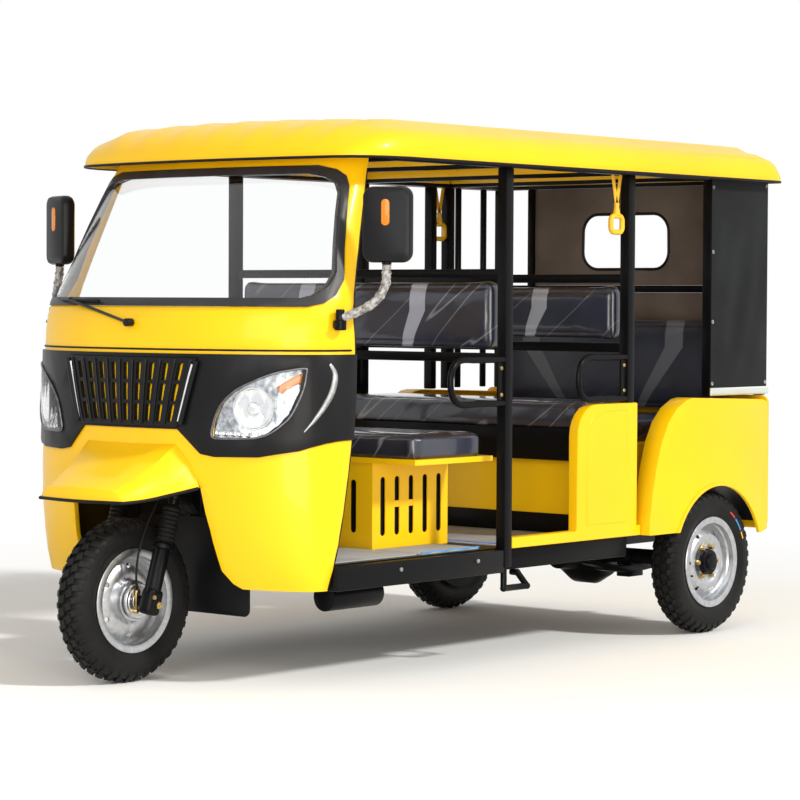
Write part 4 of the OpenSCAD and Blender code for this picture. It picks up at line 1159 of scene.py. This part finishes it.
def fork_at(x, y, z):
    """A point in the fork's own frame, z along the legs, as a place in the world."""
    return Vector((x, FRONT_HUB[1] + y * math.cos(RAKE) + z * math.sin(RAKE),
                   FRONT_HUB[2] - y * math.sin(RAKE) + z * math.cos(RAKE)))


def fork_block(piece, place, size, edge):
    """A block placed in the fork's frame, then leaned back by the rake about the axle."""
    block(Vector(FRONT_HUB) + Vector(place), size, edge)
    mesh = bmesh.from_edit_mesh(piece.data)
    for vertex in [v for v in mesh.verts if v.select]:
        vertex.co = fork_at(*(vertex.co - Vector(FRONT_HUB)))
    bmesh.update_edit_mesh(piece.data)


# %% Lugs, bolts, brake plate and lever
alloy = metal("cast_alloy", (0.50, 0.51, 0.52), (0.68, 0.69, 0.70), 0.32)
lugs = start_piece("fork_lugs")
for side in (1, -1):
    fork_block(lugs, (side * LEG_X, 0.0, 0.002), (0.052, 0.058, 0.084), 0.013)
    fork_block(lugs, (side * LEG_X, -0.026, 0.10), (0.016, 0.020, 0.150), 0.004)
    spin_section(COLLAR, fork_at(side * LEG_X, 0, 0.176), fork_at(0, 0, 1) - fork_at(0, 0, 0), 40)
close_piece(lugs, "steering", "black_paint")

bolts = start_piece("fork_bolts")
for side in (1, -1):
    nut(fork_at(side * LUG_FACE_X, 0.010, -0.006), (side, 0, 0), 0.013, 0.010)
    nut(fork_at(side * LUG_FACE_X, -0.017, 0.014), (side, 0, 0), 0.008, 0.007)
close_piece(bolts, "steering", "arm", brass, NUT_SHARP)

drum = start_piece("front_brake_plate")
spin_section(BRAKE_PLATE, FRONT_HUB, ALONG_X, 56)
for rib in range(5):
    block(on_hub(FRONT_HUB, 1, 0.0692, 0.0375, 72 * rib + 20), (0.004, 0.0055, 0.0055), 0.0015)
close_piece(drum, "steering", "arm", alloy)

lever = start_piece("brake_lever")
cam = Vector(FRONT_HUB) + Vector((0.0700, -0.020, -0.030))
spin_section(CAM, cam, ALONG_X, 24)
block(cam + Vector((0.0070, 0.001, 0.033)), (0.0045, 0.0105, 0.066), 0.0018)
block(cam + Vector((0.0070, 0.0055, 0.062)), (0.0085, 0.016, 0.013), 0.003)
close_piece(lever, "steering", "arm", brass, NUT_SHARP)
print("fork lugs", len(lugs.data.polygons), "brake plate", len(drum.data.polygons))

# %% [markdown]
# The cable is a stiff cord, held at the brake and in the yoke, so it keeps its line when the fork turns. It
# could be simulated as a rope; a smooth line through five points does the same here.

# %% Brake cable
run = flow(CABLE_RUN, 8)
cable = settle(tube("brake_cable", run, CABLE_R, finish["rubber"]), "steering", "rubber")

# %% [markdown]
# The mirrors: a rounded plastic head with an amber marker window in front and a silvered glass behind, on a
# bent arm that still wears its crinkled transport wrap. A black clamp with a bolt holds the arm to the cab.

# %% Mirrors
MIRROR_MIDDLE = (0.754, -0.856, 1.474)
MIRROR_TURN = math.radians(20)
MARKER_LIFT = Vector((0, 0, 0.038))
ARM_LINE = [(0.6598, -0.975, 1.176), (0.676, -0.960, 1.186), (0.710, -0.924, 1.206), (0.738, -0.890, 1.236),
            (0.754, -0.868, 1.282), (0.753, -0.861, 1.318), (0.752, -0.859, 1.346)]
CLAMP = [(0, 0.0001), (0, 0.0165), (0.004, 0.0195), (0.030, 0.0198), (0.034, 0.0150), (0.062, 0.0140),
         (0.066, 0.0120), (0.066, 0.0001), (0, 0.0001)]
STALK = [(0, 0.0001), (0, 0.0085), (0.020, 0.0085), (0.022, 0.0150), (0.030, 0.0160), (0.030, 0.0001),
         (0, 0.0001)]
silvered = metal("mirror_silver", (0.80, 0.82, 0.84), (0.88, 0.90, 0.92), 0.03)
wrap, tree, inputs, coords = start_material("crinkled_wrap", (0.50, 0.50, 0.49), 0.22)
drift_colour(tree, add_noise(tree, coords, 70.0), (0.10, 0.10, 0.10), (0.40, 0.385, 0.37),
             inputs["Base Color"], 0.35, 0.6)
crinkle = add_node(tree, "TexVoronoi", {"Vector": coords, "Scale": 85.0}, feature="DISTANCE_TO_EDGE")
add_bump(tree, crinkle.outputs["Distance"], 0.9, 0.004, inputs["Normal"])


def mirror_frame(side):
    """The middle of a mirror head, its direction across and the direction that it faces."""
    across = Vector((side * math.cos(MIRROR_TURN), math.sin(MIRROR_TURN), 0))
    facing = Vector((side * math.sin(MIRROR_TURN), -math.cos(MIRROR_TURN), 0))
    return Vector((side * MIRROR_MIDDLE[0], *MIRROR_MIDDLE[1:])), across, facing


markers = start_piece("mirror_markers")
for side in (1, -1):
    middle, across, facing = mirror_frame(side)
    plate(markers, round_outline(0.0135, 0.0415, 0.0125), middle + facing * 0.0225 + MARKER_LIFT, across,
          facing.cross(across), 0.0045, 0.0015)
close_piece(markers, "body", "strap", amber)
glasses = start_piece("mirror_glasses")
for side in (1, -1):
    middle, across, facing = mirror_frame(side)
    plate(glasses, round_outline(0.070, 0.108, 0.024), middle - facing * 0.0230, across, across.cross(facing),
          0.0030, 0.0010)
close_piece(glasses, "body", "bowl", silvered)
print("markers", len(markers.data.polygons), "glasses", len(glasses.data.polygons))

# %% [markdown]
# The arm is a bent tube. Its wrap could be modelled as foil with thousands of small faces. Here the radius
# swells a little along the tube and a crinkled bump does the rest, which looks the same from a step away.

# %% Mirror arms, clamps and stalks
CLAMP_FOOT = (0.6598, -0.975, 1.140)
STALK_FOOT = (0.752, -0.859, 1.326)
arms = []
for side in (1, -1):
    line = flow([(side * x, y, z) for x, y, z in ARM_LINE])
    swell = [0.0148 + 0.0014 * math.sin(2.3 * i) + 0.0010 * math.sin(5.1 * i) for i in range(len(line))]
    arms.append(tube("mirror_arm", line, swell, wrap))
joined("mirror_arms_wrapped", arms, "body", "arm", "mirror_arms")
clamps = start_piece("mirror_clamps")
for side in (1, -1):
    foot = Vector((side * CLAMP_FOOT[0], *CLAMP_FOOT[1:]))
    spin_section(CLAMP, foot, ALONG_Z, 32)
    block(foot + Vector((-side * 0.010, 0.004, 0.018)), (0.022, 0.034, 0.026), 0.004)
    nut(foot + Vector((side * 0.006, -0.018, 0.016)), (side * 0.4, -0.9, 0), 0.0065, 0.006)
close_piece(clamps, "body", "black_paint")
stalks = start_piece("mirror_stalks")
for side in (1, -1):
    spin_section(STALK, (side * STALK_FOOT[0], *STALK_FOOT[1:]), ALONG_Z, 24)
close_piece(stalks, "body", "black_paint")
print("clamps", len(clamps.data.polygons), "stalks", len(stalks.data.polygons))

# %% [markdown]
# Passengers hold on to bent tube handles. Each is bolted to its post through a flat plate. The tube runs
# along a smooth line, because a bend made of straight pieces would show its corners in the paint.

# %% Handles with their plates
HANDLES = [(side, end) for side in (1, -1) for end in (-0.1152, 0.5948)]
HANDLE_X = 0.638
HANDLE_TOP, HANDLE_LOW = 1.036, 0.888
HANDLE_BEND = [(0.160, HANDLE_TOP), (0.225, HANDLE_TOP), (0.268, 1.012), (0.282, 0.962), (0.268, 0.912),
               (0.225, HANDLE_LOW), (0.160, HANDLE_LOW)]
POST_HALF = 0.0155
grips = []
for side, end in HANDLES:
    bend = flow([(side * HANDLE_X, end - y, z) for y, z in HANDLE_BEND])
    line = [(side * HANDLE_X, end, HANDLE_TOP)] + bend + [(side * HANDLE_X, end, HANDLE_LOW)]
    grips.append(tube("grip", line, 0.0112, finish["black_paint"], False, 5))
joined("grab_handle_tubes", grips, "body", "black_paint", "grab_handles")
mounts = start_piece("handle_plates")
for side, end in HANDLES:
    plate(mounts, round_outline(0.0150, 0.082, 0.004, 3), (side * 0.6350, end - POST_HALF, 0.962),
          (0, side, 0), ALONG_Z, 0.0060, 0.0010)
close_piece(mounts, "body", "black_paint")
screws = start_piece("handle_bolts")
for side, end in HANDLES:
    for z in (0.917, 1.007):
        nut((side * 0.6405, end - POST_HALF, z), (side, 0, 0), 0.0075, 0.0055)
close_piece(screws, "body", "arm", brass, NUT_SHARP)

# %% [markdown]
# Moulded hangers hang under the roof rail. Each is a chunky ring with a tapering neck, carried by two legs of
# webbing. The ring is a closed line with a round section, the neck is spun and the legs are thin plates.
# They are joined as they are, because one closed mesh would need careful modelling at the branch.

# %% Hangers
HANGERS = ((0.630, 0.545), (-0.630, 1.084))
NECK = [(0, 0.0001), (0, 0.0135), (0.008, 0.0130), (0.032, 0.0085), (0.038, 0.0100), (0.044, 0.0095),
        (0.046, 0.0001), (0, 0.0001)]
RING_Z, NECK_Z, LEG_Z, RAIL_UNDER = 1.510, 1.541, 1.580, 1.6858
LEG_HALF = 0.0085
LEG_THICK = 0.0024
LEG_SPREAD = 0.024
necks = start_piece("hanger_necks")
for x, y in HANGERS:
    spin_section(NECK, (x, y, NECK_Z), ALONG_Z, 24)
hooks = [close_mesh(necks, finish["strap"])]
for x, y in HANGERS:
    line = [(x, y + a, RING_Z + b) for a, b in round_outline(0.0340, 0.0290, 0.018, 5)]
    hooks.append(tube("hanger_ring", line, 0.0095, finish["strap"], True, 4))
legs = start_piece("hanger_legs")
for x, y in HANGERS:
    for lean in (1, -1):
        foot, head = Vector((x, y, LEG_Z)), Vector((x, y + lean * LEG_SPREAD, RAIL_UNDER))
        wide = Vector((0, head.z - foot.z, foot.y - head.y))
        far = (head - foot).length
        plate(legs, [(-LEG_HALF, 0.0), (LEG_HALF, 0.0), (LEG_HALF, far), (-LEG_HALF, far)],
              foot - Vector((LEG_THICK / 2, 0, 0)), wide, head - foot, LEG_THICK, 0.0006)
hooks.append(close_mesh(legs, finish["strap"]))
joined("hangers", hooks, "body", "strap", "hand_straps")

# %% [markdown]
# The sheet metal still needs its pressings. Each door sill carries a raised bead that follows its outline,
# and the wheel well is closed behind the fork by black sheets, two on each side of the steering neck. Yellow
# strips cover the inner faces of the roof rails, so that the roof reads as one shell from below.

# %% Sill beads, wheel well and roof liners
BEAD_X = 0.6508
BEAD_LINE = [(0.350, 0.448), (0.350, 0.745), (0.364, 0.796), (0.394, 0.830), (0.446, 0.846), (0.520, 0.848),
             (0.588, 0.848), (0.588, 0.640), (0.588, 0.448), (0.470, 0.448)]
RAIL_BREAKS = ((-0.638, -0.112), (-0.078, 0.598), (0.632, 1.123), (1.157, 1.465))
CROSS_FRONTS = (-0.110, 0.600, 1.125, 1.467)
RAIL_Z = 1.7130
RAIL_HALF = 0.0125
SHEET, SHEET_EDGE = 0.003, 0.0008
beads = []
for side in (1, -1):
    line = [(side * BEAD_X, y, z) for y, z in BEAD_LINE]
    beads.append(tube("sill_bead", line, 0.0034, finish["yellow_paint"], True))
joined("sill_beads", beads, "body", "yellow_paint")

# half width, half height and the middle of each sheet of the wheel well
WELL_SHEETS = ((0.120, 0.142, 0.152, -0.9500, 0.602), (0.170, 0.178, 0.429, -0.9560, 0.5688))
well = start_piece("wheel_well")
for side in (1, -1):
    for half_w, half_h, x, y, z in WELL_SHEETS:
        plate(well, round_outline(half_w, half_h, 0.012, 3), (side * x, y, z), ALONG_X, ALONG_Z, SHEET,
              SHEET_EDGE)
close_piece(well, "body", "black_paint")

liners = start_piece("roof_rail_liners")
for side in (1, -1):
    for start, end in RAIL_BREAKS:
        plate(liners, round_outline((end - start) / 2, RAIL_HALF, 0.003, 2),
              (side * 0.6097, (start + end) / 2, RAIL_Z), (0, -side, 0), ALONG_Z, 0.0020, 0.0005)
for front in CROSS_FRONTS:
    plate(liners, round_outline(0.604, RAIL_HALF, 0.003, 2), (0, front - 0.0012, RAIL_Z), ALONG_X, ALONG_Z,
          0.0020, 0.0005)
close_piece(liners, "body", "yellow_paint")
print("wheel well", len(well.data.polygons), "liners", len(liners.data.polygons))

# %% [markdown]
# The floor is covered with grey rubber mat. Strips of it run beside the engine box, and its cut edges show
# a blue and a red layer. The edging follows a wavy line, because a loose mat never lies quite flat.

# %% Mat strips and edging
runners = start_piece("mat_runners")
for side in (1, -1):
    plate(runners, round_outline(0.104, 0.160, 0.018, 4), (side * 0.482, -0.326, 0.3942), ALONG_X, ALONG_Y,
          0.0050, 0.0012)
close_piece(runners, "body", "mat")
edging = []
for side in (1, -1):
    for paint, lift, front in ((mark_blue, 0.4002, -0.034), (mark_red, 0.3998, -0.020)):
        cross = [(side * (0.200 + 0.046 * i), front + 0.005 * math.sin(1.9 * i), lift) for i in range(9)]
        edging.append(tube("mat_edge", flow(cross, 5), 0.0030, paint))
    along = [(side * (0.584 + 0.003 * math.sin(2.1 * i)), -0.480 + 0.034 * i, 0.4000) for i in range(10)]
    edging.append(tube("mat_edge", flow(along, 4), 0.0026, mark_blue))
joined("mat_edging", edging, "body", "mat")

# %% [markdown]
# Tail lamps are red blocks with an amber segment in the middle, behind a black bezel with two bars. Bolt
# heads hold the rear panel and the chassis rails.

# %% Tail lamps and bolts
TAIL_X, TAIL_Y, TAIL_Z = 0.600, 1.4812, 0.690
bezels = []
for side in (1, -1):
    outline = round_outline(0.0365, 0.0885, 0.013, 4)
    line = [(side * TAIL_X + a, TAIL_Y + 0.0125, TAIL_Z + b) for a, b in outline]
    bezels.append(tube("bezel", line, 0.0050, finish["black_plastic"], True))
    for z in (TAIL_Z - 0.030, TAIL_Z + 0.030):
        bar = [(side * TAIL_X + x, TAIL_Y + 0.0215, z) for x in (-0.034, -0.017, 0.0, 0.017, 0.034)]
        bezels.append(tube("bezel_bar", bar, 0.0030, finish["black_plastic"]))
joined("tail_lamp_bezels", bezels, "body", "black_plastic")
fillers = start_piece("tail_lamp_segments")
for side in (1, -1):
    plate(fillers, round_outline(0.0300, 0.0255, 0.004, 3), (side * TAIL_X, TAIL_Y + 0.0205, TAIL_Z),
          (-1, 0, 0), ALONG_Z, 0.0032, 0.0008)
close_piece(fillers, "body", "strap", amber)

RAIL_BOLTS = ((0.6482, -0.660, 0.362), (0.6482, -0.260, 0.362))
PANEL_BOLT = (0.120, 1.4815, 0.470)
heads = start_piece("body_bolts")
for side in (1, -1):
    for x, y, z in RAIL_BOLTS:
        nut((side * x, y, z), (side, 0, 0), 0.0075, 0.0055)
    nut((side * PANEL_BOLT[0], *PANEL_BOLT[1:]), ALONG_Y, 0.0090, 0.0060)
close_piece(heads, "body", "cast", angle=NUT_SHARP)
print("bolts", len(heads.data.polygons))

# %% [markdown]
# Painted shade: black pieces stand where the inside is only in shade. A black liner follows the curve of each
# rear wheel arch, and black sheets stand behind the slots of the engine box. A disc closes the back of each
# rear wheel. A sheet that follows a curve starts as a flat grid: each row is laid on the arc, then the sheet
# is given its thickness.

# %% Painted shade in the arches and behind the slots, and wheel backs
ARCH_R = 0.2925
ARCH_SWEEP = 122
WHEEL_BACK = [(0.0640, 0.0001), (0.0640, 0.170), (0.0655, 0.176), (0.0690, 0.176), (0.0700, 0.140),
              (0.0760, 0.090), (0.0760, 0.0001), (0.0640, 0.0001)]
BOX_HALF = 0.3680
SLOT_Z = 0.543
SLOT_WIDTH = 0.0262
BRIDGED_SLOTS = (-0.351, -0.277)
arches = []
# Painted shade: a black sheet inside each rear wheel arch.
for side in (1, -1):
    bpy.ops.object.select_all(action="DESELECT")
    bpy.ops.mesh.primitive_grid_add(x_subdivisions=2, y_subdivisions=36, size=1)
    arch = bpy.context.object
    for vertex in arch.data.vertices:
        turn = math.radians(90 + ARCH_SWEEP * vertex.co.y)
        vertex.co = (side * (0.617 + 0.124 * vertex.co.x), REAR_HUB_LEFT[1] + ARCH_R * math.cos(turn),
                     REAR_HUB_LEFT[2] + ARCH_R * math.sin(turn))
    arch.data.materials.append(finish["black_paint"])
    thicken(arch, SHEET)
    arches.append(arch)
joined("arch_painted_shade", arches, "body", "black_paint")
backs = start_piece("wheel_backs")
for hub, inward in ((REAR_HUB_LEFT, -1), (REAR_HUB_RIGHT, 1)):
    spin_section(WHEEL_BACK, hub, (inward, 0, 0), 48)
close_piece(backs, "body", "black_paint")
# Painted shade: black sheets behind the slots of the engine box.
slots = start_piece("slot_painted_shade")
for side in (1, -1):
    plate(slots, round_outline(0.185, 0.140, 0.004, 2), (side * 0.3585, -0.280, SLOT_Z), ALONG_Y, ALONG_Z,
          SHEET, SHEET_EDGE)
plate(slots, round_outline(0.350, 0.140, 0.004, 2), (0, -0.4705, SLOT_Z), ALONG_X, ALONG_Z, SHEET, SHEET_EDGE)
close_piece(slots, "body", "black_paint")
bridges = start_piece("slot_bridges")
for side in (1, -1):
    for y in BRIDGED_SLOTS:
        block((side * BOX_HALF, y, SLOT_Z + 0.003), (0.0036, SLOT_WIDTH, 0.022), 0.0010)
close_piece(bridges, "body", "yellow_paint")
print("dark liners behind the arches, the wheels and the slots")
